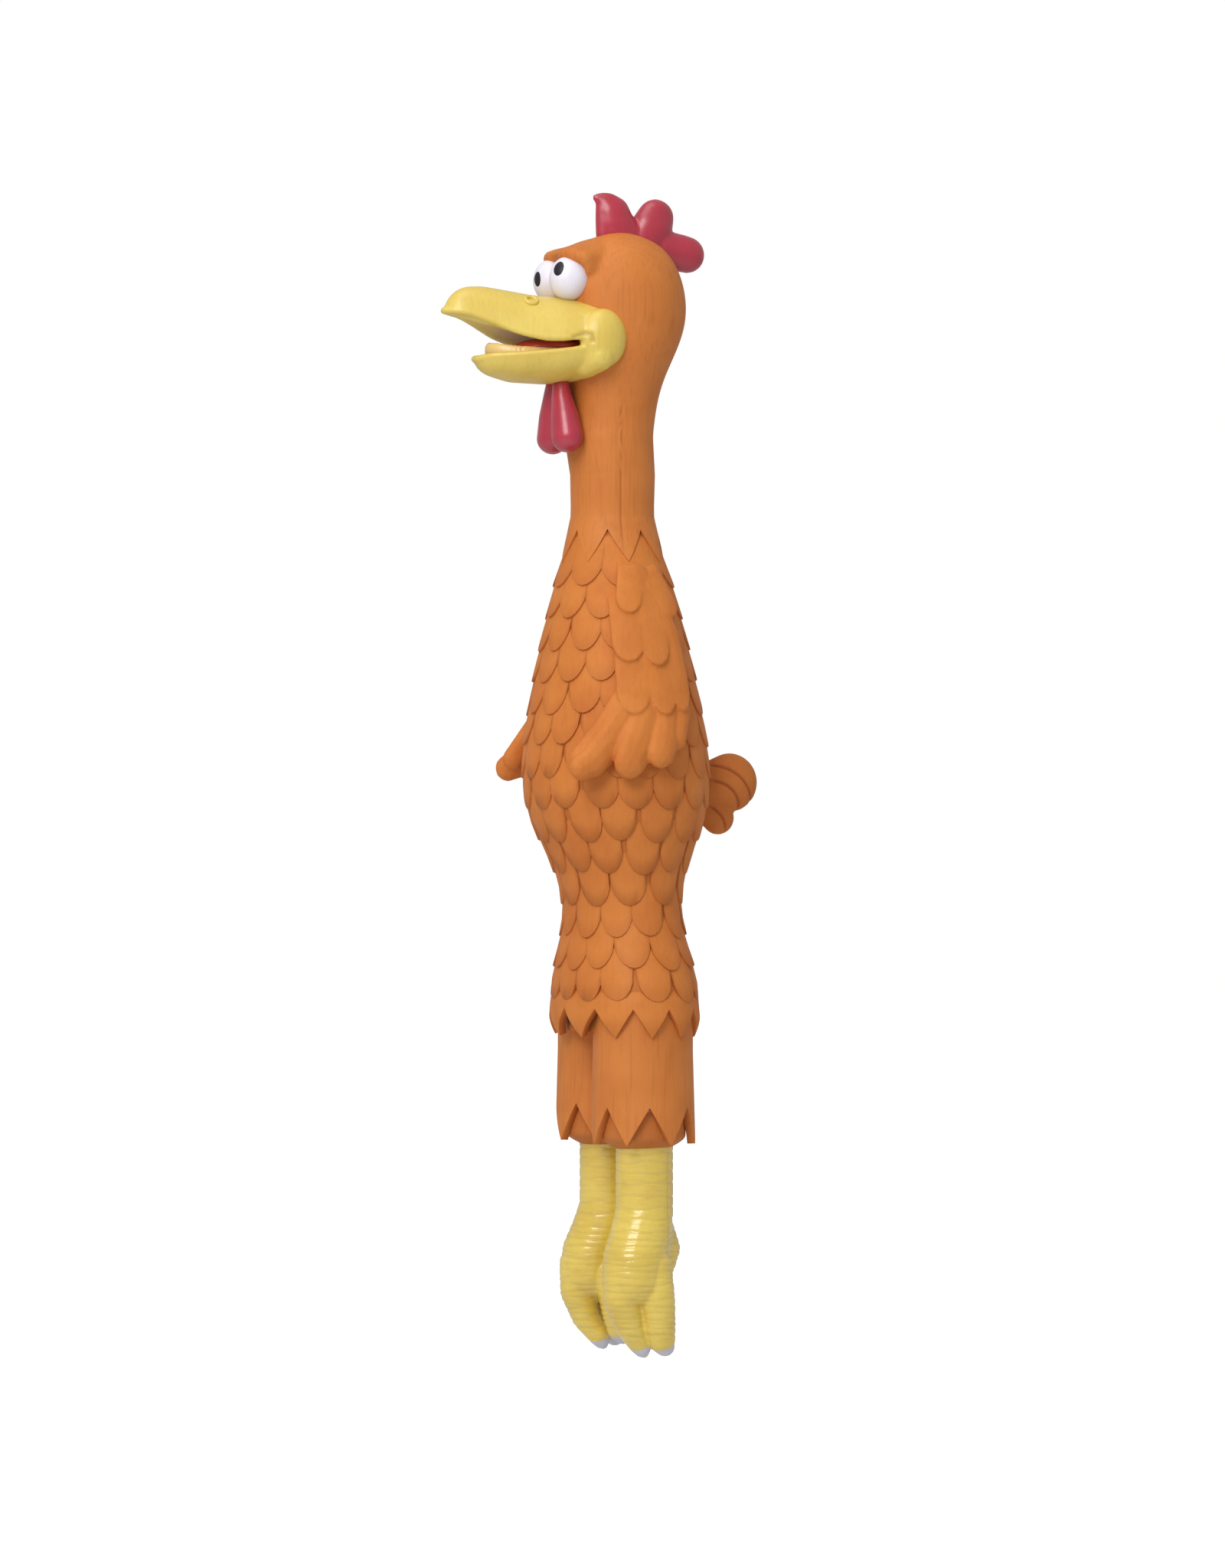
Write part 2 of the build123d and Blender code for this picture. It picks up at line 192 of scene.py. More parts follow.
def pellets(name, beads, flatten=(1, 1, 1), subdivisions=3):
    """Spheres at every bead; flatten squeezes each one about its own centre."""
    out = []
    for x, y, z, r in beads:
        bpy.ops.object.select_all(action="DESELECT")
        bpy.ops.mesh.primitive_ico_sphere_add(
            subdivisions=subdivisions, radius=r * MM, location=(x * MM, y * MM, z * MM))
        bpy.ops.transform.resize(value=flatten)
        out.append(bpy.context.active_object)
    whole = joined(name, out)
    bpy.ops.object.transform_apply(location=True, rotation=True, scale=True)
    return whole


def melted(obj, voxel=0.7, rounds=6):
    """Melts overlapping closed shells into one skin, then smooths it."""
    apply(obj, "REMESH", mode="VOXEL", voxel_size=voxel * MM)
    if rounds:
        apply(obj, "SMOOTH", factor=0.5, iterations=rounds)
    return obj


def mirrored(obj, name):
    """The same piece on the bird's other side, with its faces turned out again."""
    only(obj)
    bpy.ops.object.duplicate()
    other = made(name)
    places = points(other)
    places[:, 0] *= -1
    move(other, places)
    in_edit_mode(other, (bpy.ops.mesh.flip_normals, {}))
    return other


print("bench ready")


# %% [markdown]
# ## Reading the casting's girth from the frame
#
# The feathers have to lie on the body that the imported model swings about, so the body's girth is measured
# and
# not guessed: rays run in from both sides and from front and back at each height, and give the half
# width, the half depth and the middle of the oval there.

# %% Measure ovals with rays
def hit(tree, start, direction):
    """Where a ray first meets the mesh, in millimetres."""
    spot = tree.ray_cast(Vector(start) * MM, Vector(direction))[0]
    return None if spot is None else spot / MM


def girth(node, heights):
    """(height, half width, half depth, middle) of a node's outside at each height, in millimetres."""
    depsgraph = bpy.context.evaluated_depsgraph_get()
    tree = BVHTree.FromObject(nodes[node], depsgraph)
    rows = []
    for z in heights:
        front, back = hit(tree, (0.01, -200, z), (0, 1, 0)), hit(tree, (0.01, 200, z), (0, -1, 0))
        if front is None or back is None:
            continue
        middle = (front.y + back.y) / 2
        side = hit(tree, (200, middle, z), (-1, 0, 0))
        rows.append((z, side.x, (back.y - front.y) / 2, middle))
    return np.array(sorted(rows))


NECK_SEAM = 13.0            # height of the ring where the neck's two pieces meet
SKIRT_LOW = -180.0          # height of the skirt's points
body_girth = girth("torso_skin", np.arange(-166.5, 1, 1.5))
skirt_low, skirt_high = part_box("skirt_hem")
hem_row = (SKIRT_LOW, skirt_high.x / MM, (skirt_high.y - skirt_low.y) / 2 / MM,
           (skirt_high.y + skirt_low.y) / 2 / MM)
neck_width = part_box("neck_skin")[1].x / MM
seam_row = (NECK_SEAM, neck_width, neck_width, 0.0)
slimmer = 0.9 * np.clip((body_girth[:, 0] + 24) / 14, 0, 1)     # the neck's root is a little slimmer
body_girth[:, 1] -= slimmer
body_girth[:, 2] -= slimmer
body_girth = np.vstack([hem_row, body_girth[body_girth[:, 0] < 0], seam_row])
head_low, head_high = (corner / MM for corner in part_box("head_skin"))
crown_heights = head_high.z - 0.05 - 12 * (1 - np.sin(np.linspace(0, math.pi / 2, 12)))
head_girth = girth("head_skin", np.unique(np.concatenate([np.arange(24, 84, 1.5), crown_heights])))
head_girth = np.vstack([seam_row, head_girth])
print(len(body_girth), "ovals on the body,", len(head_girth), "on the head")


def oval(table, z):
    """Half width, half depth and middle at a height."""
    return [np.interp(z, table[:, 0], table[:, i]) for i in (1, 2, 3)]


def on_body(turn, z, rise=0.0):
    """A point on the body: turn 0 is the bird's left side, -90 degrees its breast."""
    a, b, middle = oval(body_girth, z)
    return (a + rise) * np.cos(turn), middle + (b + rise) * np.sin(turn), z + 0 * turn


def on_head(turn, z, rise=0.0):
    """The same on the head."""
    a, b, middle = oval(head_girth, z)
    return (a + rise) * np.cos(turn), middle + (b + rise) * np.sin(turn), z + 0 * turn


# %% [markdown]
# ## Finishes
#
# Every colour on the toy is thin paint over the same latex, so one node group makes the paint's
# unevenness and each material gives it its own colours. Long faint streaks follow the brush and the
# mould's draw, patches are a little lighter or darker, and grooves are darker: darker paint in them
# and painted shade. They come from a point attribute that each mesh carries, which is 1 in a groove.

# %% The paint group
def new_group(name, inputs, outputs):
    """A shader node group with named inputs and outputs."""
    group = bpy.data.node_groups.new(name, "ShaderNodeTree")
    for label, kind, value in inputs:
        socket = group.interface.new_socket(label, in_out="INPUT", socket_type=kind)
        socket.default_value = value
    for label, kind in outputs:
        group.interface.new_socket(label, in_out="OUTPUT", socket_type=kind)
    return group, group.nodes.new("NodeGroupInput"), group.nodes.new("NodeGroupOutput")


def node(tree, kind, links=None, **settings):
    """Adds a node, sets it, and links or fills its inputs by name or number."""
    made_node = tree.nodes.new(kind)
    for key, value in settings.items():
        setattr(made_node, key, value)
    for key, value in (links or {}).items():
        if isinstance(value, bpy.types.NodeSocket):
            tree.links.new(value, made_node.inputs[key])
        else:
            made_node.inputs[key].default_value = value
    return made_node


def mixed(tree, factor, a, b):
    """The colour between a and b that factor asks for."""
    mix = tree.nodes.new("ShaderNodeMix")
    mix.data_type = "RGBA"
    for socket, value in ((mix.inputs[0], factor), (mix.inputs[6], a), (mix.inputs[7], b)):
        if isinstance(value, bpy.types.NodeSocket):
            tree.links.new(value, socket)
        else:
            socket.default_value = value
    return mix.outputs[2]


def ranged(tree, value, low, high, to_low=0.0, to_high=1.0):
    """A value stretched from one range to another, and held inside it."""
    limits = {0: value, 1: low, 2: high, 3: to_low, 4: to_high}
    return node(tree, "ShaderNodeMapRange", limits).outputs[0]


paint, given, out = new_group(
    "hand_paint",
    [("Colour", "NodeSocketColor", (1, 1, 1, 1)), ("Patch", "NodeSocketColor", (1, 1, 1, 1)),
     ("Groove", "NodeSocketColor", (1, 1, 1, 1)), ("Streaks", "NodeSocketFloat", 0.2),
     ("Roughness", "NodeSocketFloat", 0.5), ("Grain", "NodeSocketFloat", 0.3),
     ("Draw", "NodeSocketVector", (900, 900, 55))],
    [("Colour", "NodeSocketColor"), ("Roughness", "NodeSocketFloat"), ("Height", "NodeSocketFloat")])
where = node(paint, "ShaderNodeTexCoord").outputs["Object"]
drawn = node(paint, "ShaderNodeMapping", {"Vector": where, "Scale": given.outputs["Draw"]}).outputs[0]
streak = node(paint, "ShaderNodeTexNoise", {"Vector": drawn, "Scale": 1.0, "Detail": 3.0}).outputs["Fac"]
patch = node(paint, "ShaderNodeTexNoise", {"Vector": where, "Scale": 75.0, "Detail": 4.0}).outputs["Fac"]
grain = node(paint, "ShaderNodeTexNoise", {"Vector": where, "Scale": 1700.0, "Detail": 3.0}).outputs["Fac"]
groove_paint_and_shade = node(paint, "ShaderNodeAttribute", attribute_name="groove_paint_and_shade").outputs["Fac"]
patched = mixed(paint, ranged(paint, patch, 0.35, 0.7), given.outputs["Colour"], given.outputs["Patch"])
streaky = node(paint, "ShaderNodeMath", {0: ranged(paint, streak, 0.5, 0.72), 1: given.outputs["Streaks"]},
               operation="MULTIPLY").outputs[0]
streaked = mixed(paint, streaky, patched, given.outputs["Groove"])
# The groove attribute pulls the colour towards the groove colour: darker paint in grooves and painted
# shade.
with_groove_paint_and_shade = mixed(paint, ranged(paint, groove_paint_and_shade, 0.0, 1.0, 0.0, 0.85), streaked, given.outputs["Groove"])
paint.links.new(with_groove_paint_and_shade, out.inputs["Colour"])
rough = node(paint, "ShaderNodeMath", {0: ranged(paint, patch, 0.3, 0.7, -0.06, 0.06),
                                       1: given.outputs["Roughness"]}, operation="ADD").outputs[0]
paint.links.new(rough, out.inputs["Roughness"])
grains = node(paint, "ShaderNodeMath", {0: grain, 1: given.outputs["Grain"]},
              operation="MULTIPLY").outputs[0]
height = node(paint, "ShaderNodeMath", {0: streak, 1: grains}, operation="ADD").outputs[0]
paint.links.new(height, out.inputs["Height"])
print("paint group has", len(paint.nodes), "nodes")


# %% The materials
def srgb(r, g, b):
    """A colour as a painter's swatch gives it, 0 to 255, made linear for the shader."""
    linear = [(c / 255) / 12.92 if c <= 10 else ((c / 255 + 0.055) / 1.055) ** 2.4 for c in (r, g, b)]
    return (*linear, 1.0)


def painted(name, colour, patch, groove, streaks, roughness, grain, relief, coat=0.0, coat_roughness=0.2,
            shine=0.5, draw=(900, 900, 55)):
    """Hand paint on latex. relief is the bump's height in millimetres, draw is how fine the streaks are."""
    material = bpy.data.materials.new(name)
    material.use_nodes = True
    tree = material.node_tree
    shader = tree.nodes["Principled BSDF"]
    group = tree.nodes.new("ShaderNodeGroup")
    group.node_tree = paint
    for label, value in (("Colour", colour), ("Patch", patch), ("Groove", groove), ("Streaks", streaks),
                         ("Roughness", roughness), ("Grain", grain), ("Draw", draw)):
        group.inputs[label].default_value = value
    bump = node(tree, "ShaderNodeBump", {"Height": group.outputs["Height"], "Distance": relief * MM,
                                         "Strength": 1.0})
    tree.links.new(group.outputs["Colour"], shader.inputs["Base Color"])
    tree.links.new(group.outputs["Roughness"], shader.inputs["Roughness"])
    tree.links.new(bump.outputs[0], shader.inputs["Normal"])
    shader.inputs["Coat Weight"].default_value = coat
    shader.inputs["Coat Roughness"].default_value = coat_roughness
    shader.inputs["Specular IOR Level"].default_value = shine
    material.diffuse_color = colour
    return material


orange = painted("orange_latex", srgb(208, 125, 56), srgb(199, 116, 50), srgb(148, 70, 24),
                 streaks=0.22, roughness=0.62, grain=0.5, relief=0.08, coat=0.03, coat_roughness=0.5,
                 shine=0.3)
feather_orange = painted("feather_latex", srgb(208, 125, 56), srgb(198, 114, 50), srgb(140, 64, 22),
                         streaks=0.10, roughness=0.66, grain=0.7, relief=0.08, shine=0.25)
mustard = painted("beak_latex", srgb(224, 197, 92), srgb(216, 185, 80), srgb(150, 108, 44),
                  streaks=0.10, roughness=0.42, grain=0.35, relief=0.05, coat=0.25, coat_roughness=0.3)
yellow = painted("leg_latex", srgb(233, 204, 88), srgb(220, 188, 74), srgb(150, 116, 40),
                 streaks=0.14, roughness=0.36, grain=0.4, relief=0.25, coat=0.85, coat_roughness=0.17,
                 draw=(170, 170, 900))
crimson = painted("crimson_latex", srgb(180, 44, 66), srgb(164, 38, 56), srgb(104, 18, 36),
                  streaks=0.10, roughness=0.36, grain=0.35, relief=0.05, coat=0.45, coat_roughness=0.22)
# Painted light: this red is lighter than the paint in the mouth, to make up for the shade inside it.
mouth_red = painted("mouth_red", srgb(236, 96, 80), srgb(222, 82, 68), srgb(150, 40, 34),
                    streaks=0.05, roughness=0.4, grain=0.3, relief=0.04, coat=0.3)
lip_cream = painted("lip_cream", srgb(240, 208, 132), srgb(232, 192, 112), srgb(170, 110, 60),
                    streaks=0.08, roughness=0.4, grain=0.3, relief=0.04, coat=0.3)
eye_white = painted("eye_white", srgb(236, 232, 243), srgb(226, 222, 236), srgb(190, 184, 200),
                    streaks=0.10, roughness=0.45, grain=0.25, relief=0.04, coat=0.15)
eye_black = painted("eye_black", srgb(24, 20, 28), srgb(34, 28, 38), srgb(12, 10, 14),
                    streaks=0.05, roughness=0.45, grain=0.2, relief=0.03, coat=0.12, coat_roughness=0.3,
                    shine=0.3)
claw_grey = painted("claw_white", srgb(206, 205, 214), srgb(186, 185, 196), srgb(140, 138, 150),
                    streaks=0.15, roughness=0.42, grain=0.35, relief=0.05, coat=0.2)
fibre = painted("stuffing", srgb(240, 240, 236), srgb(226, 226, 220), srgb(190, 190, 184),
                streaks=0.5, roughness=0.9, grain=1.0, relief=0.5)
squeaker_white = painted("squeaker_plastic", srgb(232, 232, 226), srgb(222, 222, 214), srgb(180, 180, 172),
                         streaks=0.05, roughness=0.4, grain=0.3, relief=0.03)
print(len(bpy.data.materials), "materials")


def dress(obj, material, slot, *replaced, groove_paint_and_shade_levels=None, angle=50):
    """Gives a finished piece its paint, its grooves and smooth shading, and hides the imported parts that
    it replaces; slot is not used.
    """
    obj.data.materials.clear()
    obj.data.materials.append(material)
    # The attribute carries darker paint and painted shade, in grooves, under feathers and inside hems.
    attribute = obj.data.attributes.get("groove_paint_and_shade") or obj.data.attributes.new("groove_paint_and_shade", "FLOAT", "POINT")
    if groove_paint_and_shade_levels is not None:
        attribute.data.foreach_set("value", np.clip(groove_paint_and_shade_levels, 0, 1).astype(np.float32))
    shade(obj, angle)
    if replaced:
        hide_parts(*replaced)
    print(obj.name, len(obj.data.polygons), "faces")
    return obj


# %% [markdown]
# ## The torso and its feathers
#
# The mould was carved with overlapping U-shaped feathers in rows like bricks. Cutting grooves into
# one dense skin would need a very fine mesh everywhere, so a feather is made once, as a small grid
# whose lower corners are drawn up into a U, given thickness and softened. Copies are then laid over
# the body, each row covering the roots of the row below. No two are quite the same, as on the toy.

# %% The skin under the feathers
TORSO_TOP, TORSO_LOW = -8.0, -178.0


def torso_place(turn, share):
    """The skin lies just under the feathers, and deeper where the skirt covers it."""
    z = TORSO_LOW + (TORSO_TOP - TORSO_LOW) * share
    return on_body(turn, z, -0.6 - 3.5 * np.clip((-165 - z) / 5, 0, 1))


torso = rolled("torso_shell", 96, 84, torso_place)
# Painted shade: the whole skin under the feathers is a little darker, for the shade of the feathers over
# it.
dress(torso, feather_orange, "orange_latex", "torso_skin", groove_paint_and_shade_levels=np.full(len(torso.data.vertices), 0.25))
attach(torso, "torso")


# %% One feather
RIM_SIDE, RIM_TIP = 0.89, 0.965     # where the flat of the feather ends and its rim turns down


def feather(columns=10, rows=5, round_end=0.5, crown=0.35, drop=1.1):
    """A feather about one wide and one long, hanging from the origin with its tip at -1."""
    bpy.ops.object.select_all(action="DESELECT")
    bpy.ops.mesh.primitive_grid_add(x_subdivisions=columns, y_subdivisions=rows, size=1)
    obj = made("feather")
    flat = points(obj) * MM
    side, down = flat[:, 0] * 2, 0.5 - flat[:, 1]
    on_side, on_tip, on_root = np.abs(side) > 0.999, down > 0.999, down < 0.001
    inner_side = math.asin(RIM_SIDE) / (math.pi / 2) * columns / (columns - 2)
    side = np.where(on_side, side, side * inner_side)
    down = np.where(on_tip, 1, down * RIM_TIP * rows / (rows - 1))
    end = 1 - round_end + round_end * np.cos(math.pi / 2 * side)
    rim = on_side | on_tip | on_root
    places = np.stack([np.sin(math.pi / 2 * side) / 2 * (1.16 - 0.12 * down), -down * end,
                       np.where(rim, -drop, crown * np.cos(math.pi / 2 * side))], axis=1)
    move(obj, places / MM)
    in_edit_mode(obj, (bpy.ops.mesh.fill_holes, {"sides": 0}),
                 (bpy.ops.mesh.select_all, {"action": "SELECT"}),
                 (bpy.ops.mesh.normals_make_consistent, {"inside": False}))
    # The rim, the root and a band beside the rim are darker: darker paint in the groove, and painted shade
    # where the rows overlap.
    beside = (np.abs(side) > 0.68) | (down > 0.93)
    rim_paint_and_shade = np.where(on_side | on_tip, 1.0, np.where(on_root, 0.5, np.where(beside, 0.28, 0.0)))
    obj.data.attributes.new("groove_paint_and_shade", "FLOAT", "POINT").data.foreach_set("value", rim_paint_and_shade.astype(np.float32))
    return obj


small_feather = feather()
print("one feather has", len(small_feather.data.polygons), "faces")


# %% Laying copies on a surface
def lay(pattern, surface, turn, z, width, length, root_rise, tip_rise, tilt=0.0):
    """A copy of a feather on a surface, hung from (turn, z). tilt turns its tip, in radians."""
    copy = pattern.copy()
    copy.data = pattern.data.copy()
    bpy.context.collection.objects.link(copy)
    local = points(pattern) * MM
    across, down = local[:, 0] * width, local[:, 1] * length
    across, down = (across * math.cos(tilt) - down * math.sin(tilt),
                    across * math.sin(tilt) + down * math.cos(tilt))
    nudge = 0.01
    x0, y0, _ = surface(np.full(len(down), turn - nudge), z + down, 0.0)
    x1, y1, _ = surface(np.full(len(down), turn + nudge), z + down, 0.0)
    per_radian = np.hypot(x1 - x0, y1 - y0) / (2 * nudge)
    rise = root_rise + (tip_rise - root_rise) * -local[:, 1] + local[:, 2]
    move(copy, np.stack(surface(turn + across / per_radian, z + down, rise), axis=1))
    return copy


def turns_round(z, count, first):
    """Turns that are evenly spaced along the oval's edge, beginning at first, and its length."""
    a, b, _ = oval(body_girth, z)
    turns = first + np.linspace(0, 2 * math.pi, 361)
    steps = np.hypot(a * np.sin(turns), b * np.cos(turns)) * math.radians(1)
    run = np.concatenate([[0], np.cumsum((steps[1:] + steps[:-1]) / 2)])
    return np.interp(np.arange(count) / count * run[-1], run, turns), run[-1]


ROWS = 14
ROW_STEP = 10.9             # from one row's tips to the next
FIRST_TIPS = -26.3          # height of the top row's tips
ABOVE_TIPS = 4              # where a row's girth is measured
FEATHER_WIDTH, FEATHER_LENGTH = 12.3, 23.0
ROOT_SINK = -0.9            # how far a root sinks under the row above it
BREAST_COLUMN = math.radians(-37)


def wing_covers(turn, z):
    """True where a wing hides the body altogether."""
    side = math.degrees(math.atan2(math.sin(turn), abs(math.cos(turn))))
    return -78 < z < -26 and -16 < side < 14


coat_pieces = []
for row in range(ROWS):
    tips = FIRST_TIPS - row * ROW_STEP
    round_it = turns_round(tips + ABOVE_TIPS, 1, 0)[1]
    count = round(round_it / FEATHER_WIDTH)
    width = round_it / count
    brick = 0 if row % 2 else math.pi / count
    for turn in turns_round(tips + ABOVE_TIPS, count, BREAST_COLUMN + brick)[0]:
        if wing_covers(turn, tips):
            continue
        root_turn = turn + rng.uniform(-0.02, 0.02)
        root_z = tips + FEATHER_LENGTH + rng.uniform(-0.6, 0.6)
        wide = width * rng.uniform(1.0, 1.08)
        tip_rise = rng.uniform(0.35, 0.6)
        tilt = rng.uniform(-0.06, 0.06)
        coat_pieces.append(lay(small_feather, on_body, root_turn, root_z, wide, FEATHER_LENGTH,
                               ROOT_SINK, tip_rise, tilt))
feathers = joined("feather_coat", coat_pieces)
feathers.data.materials.append(feather_orange)
shade(feathers, 65)
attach(feathers, "torso")
print("the coat has", len(coat_pieces), "feathers")


# %% [markdown]
# ## Pointed hems
#
# The neck, the skirt and both trouser legs end in pointed feathers. Each is a tube whose lower edge
# runs in a zigzag, given a wall. The thick walls of skirt and trousers get a small bevel too. The
# grid's columns fall on every point and every notch, so each keeps its place.

# %% A zigzag edge
def zigzag(turn, teeth, notch_turn):
    """0 at each notch and 1 at each point."""
    share = ((turn - notch_turn) * teeth / (2 * math.pi)) % 1.0
    return 1 - np.abs(2 * share - 1)


COLUMNS_A_TOOTH = 20


def hemmed(name, teeth, notch_turn, top, notch, point, surface, wall, along, soft):
    """A tube from top down to a zigzag between notch and point, with a wall and a soft bevel."""
    def place(turn, share):
        turn = turn + notch_turn
        edge = notch + (point - notch) * zigzag(turn, teeth, notch_turn)
        return surface(turn, top + (edge - top) * (1 - share))

    tube = rolled(name, teeth * COLUMNS_A_TOOTH, along, place, close=False)
    apply(tube, "SOLIDIFY", thickness=wall * MM, offset=-1, use_even_offset=True)
    if soft:
        apply(tube, "BEVEL", width=soft * MM, segments=2, limit_method="ANGLE",
              angle_limit=math.radians(50))
    return tube


def hem_shadow(depth):
    """Painted shade that grows with depth under the outer face, in notches and inside, full at 1.4 mm."""
    return 0.75 * np.clip(depth / 1.4, 0, 1)


# %% The collar, which is the foot of the neck's skin
PARTING_TURN = math.radians(-13.0)      # the mould's parting line down the neck
COLLAR_TURN = math.radians(-31)


def parting(turn, at=PARTING_TURN, half=0.024):
    """1 on the parting line and 0 away from it."""
    off = np.abs((turn - at + math.pi) % (2 * math.pi) - math.pi)
    return np.clip(1 - off / half, 0, 1)


def on_collar(turn, z):
    """The neck, which stands off the torso's feathers a little more towards its hem."""
    return on_body(turn, z, np.clip((2 - z) / 12, 0, 1) * 0.55 - 0.22 * parting(turn) * (z > -11))


collar = hemmed("neck_collar_skin", teeth=8, notch_turn=COLLAR_TURN, top=NECK_SEAM, notch=-6.2,
                point=-17.4, surface=on_collar, wall=1.0, along=34, soft=0)


def depth_under(places, surface):
    """How deep each point lies under a surface of ovals, in millimetres."""
    x, y, z = places.T
    right, back = surface(np.zeros_like(z), z)[0], surface(np.full_like(z, math.pi / 2), z)[1]
    middle = oval(body_girth, z)[2]
    share = np.hypot(x / right, (y - middle) / (back - middle))
    return (1 - share) * (right + back - middle) / 2


collar_places = points(collar)
collar_turn = np.arctan2(collar_places[:, 1], collar_places[:, 0])
# The parting line gets darker paint and painted shade in its groove, and the wall inside the hem is painted
# in full shade.
dress(collar, orange, "orange_latex", "neck_collar",
      groove_paint_and_shade_levels=np.maximum(parting(collar_turn) * 0.7, depth_under(collar_places, on_collar) > 0.3))
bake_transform(collar)


# %% [markdown]
# ## The filling in the neck
#
# Loose fibre fills the toy. Where the neck bends, a rigid lump of fibre would break through the skin,
# so the neck's filling is a tube a little inside the skin.

# %% A filling inside the neck
fill_low, fill_high = (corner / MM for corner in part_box("neck_stuffing"))
FILLING_INSET = 3.6


def filling_place(turn, share):
    """The filling starts and ends 1 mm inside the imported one's ends."""
    z = fill_low.z + 1 + (fill_high.z - fill_low.z - 2) * share
    return on_body(turn, z, -FILLING_INSET)


filling = rolled("neck_filling", 48, 30, filling_place)
dress(filling, fibre, "stuffing", "neck_stuffing")
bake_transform(filling)


# %% [markdown]
# ## Skirt
#
# The skirt is the torso's own hem. It swells under the last row of feathers and draws in again at
# its points, where it meets the trousers.

# %% The skirt
SKIRT_TURN = math.radians(-26)


def on_skirt(turn, z):
    """The body's oval, first standing off by the swell and then drawn in by the tuck."""
    swell = 1.15 * np.sin(np.clip((-166.5 - z) / 16, 0, 1) * math.pi * 0.62)
    tuck = 2.2 * np.clip((-173 - z) / 7, 0, 1) ** 1.5
    return on_body(turn, z, -0.9 + 1.4 * np.clip((-163 - z) / 4, 0, 1) + swell * 0.6 - tuck)


skirt = hemmed("skirt_of_feathers", teeth=12, notch_turn=SKIRT_TURN, top=-161, notch=-169.8,
               point=SKIRT_LOW, surface=on_skirt, wall=2.8, along=18, soft=0.5)
dress(skirt, feather_orange, "orange_latex", "skirt_hem", "hip_web",
      groove_paint_and_shade_levels=hem_shadow(depth_under(points(skirt), on_skirt)))
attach(skirt, "torso")


# %% [markdown]
# ## Head and brows
#
# The head is the same tube as the neck, swollen into a skull. The brows are part of the skin, so
# they are sculpted by moving vertices: each brow is a string of beads, and the skin is pushed out
# along its own level ray until it covers them, with a soft join. More beads fill the crown behind
# each brow, and a few rounds of smoothing blend it all. The mould's parting line is a fine groove
# down the side of the neck.

# %% Head
BROW = string((1.6, -19.6, 88.4, 2.3), (6.0, -19.6, 87.8, 3.1), (10.0, -18.0, 87.4, 3.4),
              (12.6, -15.2, 86.0, 3.0), (13.0, -14.4, 83.2, 2.0), (12.6, -14.6, 81.2, 1.3), step=0.8)
# behind the brow
BROW += string((2.0, -15.0, 86.6, 4.6), (2.0, -11.0, 87.8, 5.2), (2.0, -7.0, 88.6, 5.6), step=1.5)
BROW += string((7.0, -15.0, 86.2, 4.6), (7.0, -10.0, 87.0, 5.2), step=1.5)


def soft_max(a, b, width):
    """The larger of two values, rounded where they cross."""
    h = np.clip(0.5 + 0.5 * (a - b) / width, 0, 1)
    return b + (a - b) * h + width * h * (1 - h)


BROW_JOIN = 3.0             # how widely a brow runs into the skin
UNCOVERED = -1e3


def pushed_over(beads, x, y, z, middle):
    """Moves points out along level rays from the middle until they cover the beads."""
    far = np.hypot(x, y - middle)
    ux, uy = x / np.maximum(far, 1e-6), (y - middle) / np.maximum(far, 1e-6)
    cover = np.full_like(far, UNCOVERED)
    for bx, by, bz, r in beads:
        along = bx * ux + (by - middle) * uy
        off = (bx - along * ux) ** 2 + (by - middle - along * uy) ** 2 + (z - bz) ** 2
        inside = r * r - off
        over_bead = along + np.sqrt(np.maximum(inside, 0))
        cover = np.maximum(cover, np.where((inside > 0) & (along > 0), over_bead, UNCOVERED))
    reach = np.where(cover > UNCOVERED / 10, soft_max(far, cover, BROW_JOIN), far)
    return reach * ux, middle + reach * uy


def head_place(turn, share):
    """Up to height 84 in even steps, then finer over the crown, which closes at the top."""
    top = head_girth[-1, 0]
    z = np.where(share < 0.82, NECK_SEAM + (84 - NECK_SEAM) * share / 0.82,
                 84 + (top - 84) * np.sin(np.clip((share - 0.82) / 0.16, 0, 1) * math.pi / 2))
    turn = turn + COLLAR_TURN
    x, y, z = on_head(turn, z, -0.22 * parting(turn) * (z < 36))
    middle = oval(head_girth, z)[2]
    closing = np.clip((share - 0.98) / 0.02, 0, 1)
    x, y = x * (1 - closing), middle + (y - middle) * (1 - closing)
    z = z + 0.35 * closing
    for side in (1, -1):
        beads = [(side * bx, by, bz, r) for bx, by, bz, r in BROW]
        x, y = pushed_over(beads, x, y, z, middle)
    return x, y, z


head = rolled("head_and_neck", 160, 150, head_place)
head_places = points(head)
soft_part = head.vertex_groups.new(name="brows")
brow_points = np.flatnonzero((head_places[:, 2] > 77) & (head_places[:, 1] < 2))
soft_part.add(brow_points.tolist(), 1.0, "REPLACE")
apply(head, "SMOOTH", factor=0.5, iterations=7, vertex_group="brows")
head_turn = np.arctan2(head_places[:, 1], head_places[:, 0])
# The parting line gets darker paint and painted shade in its groove.
dress(head, orange, "orange_latex", "head_skin", "neck_skin", "left_brow", "right_brow",
      groove_paint_and_shade_levels=0.7 * parting(head_turn) * (head_places[:, 2] < 36))
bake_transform(head)

# %% [markdown]
# ## The filling of head and torso
#
# The packed fibre of head and torso reaches a little way into the neck. Copies of it are made slimmer
# there, so that they stay inside the skin when the neck bends.

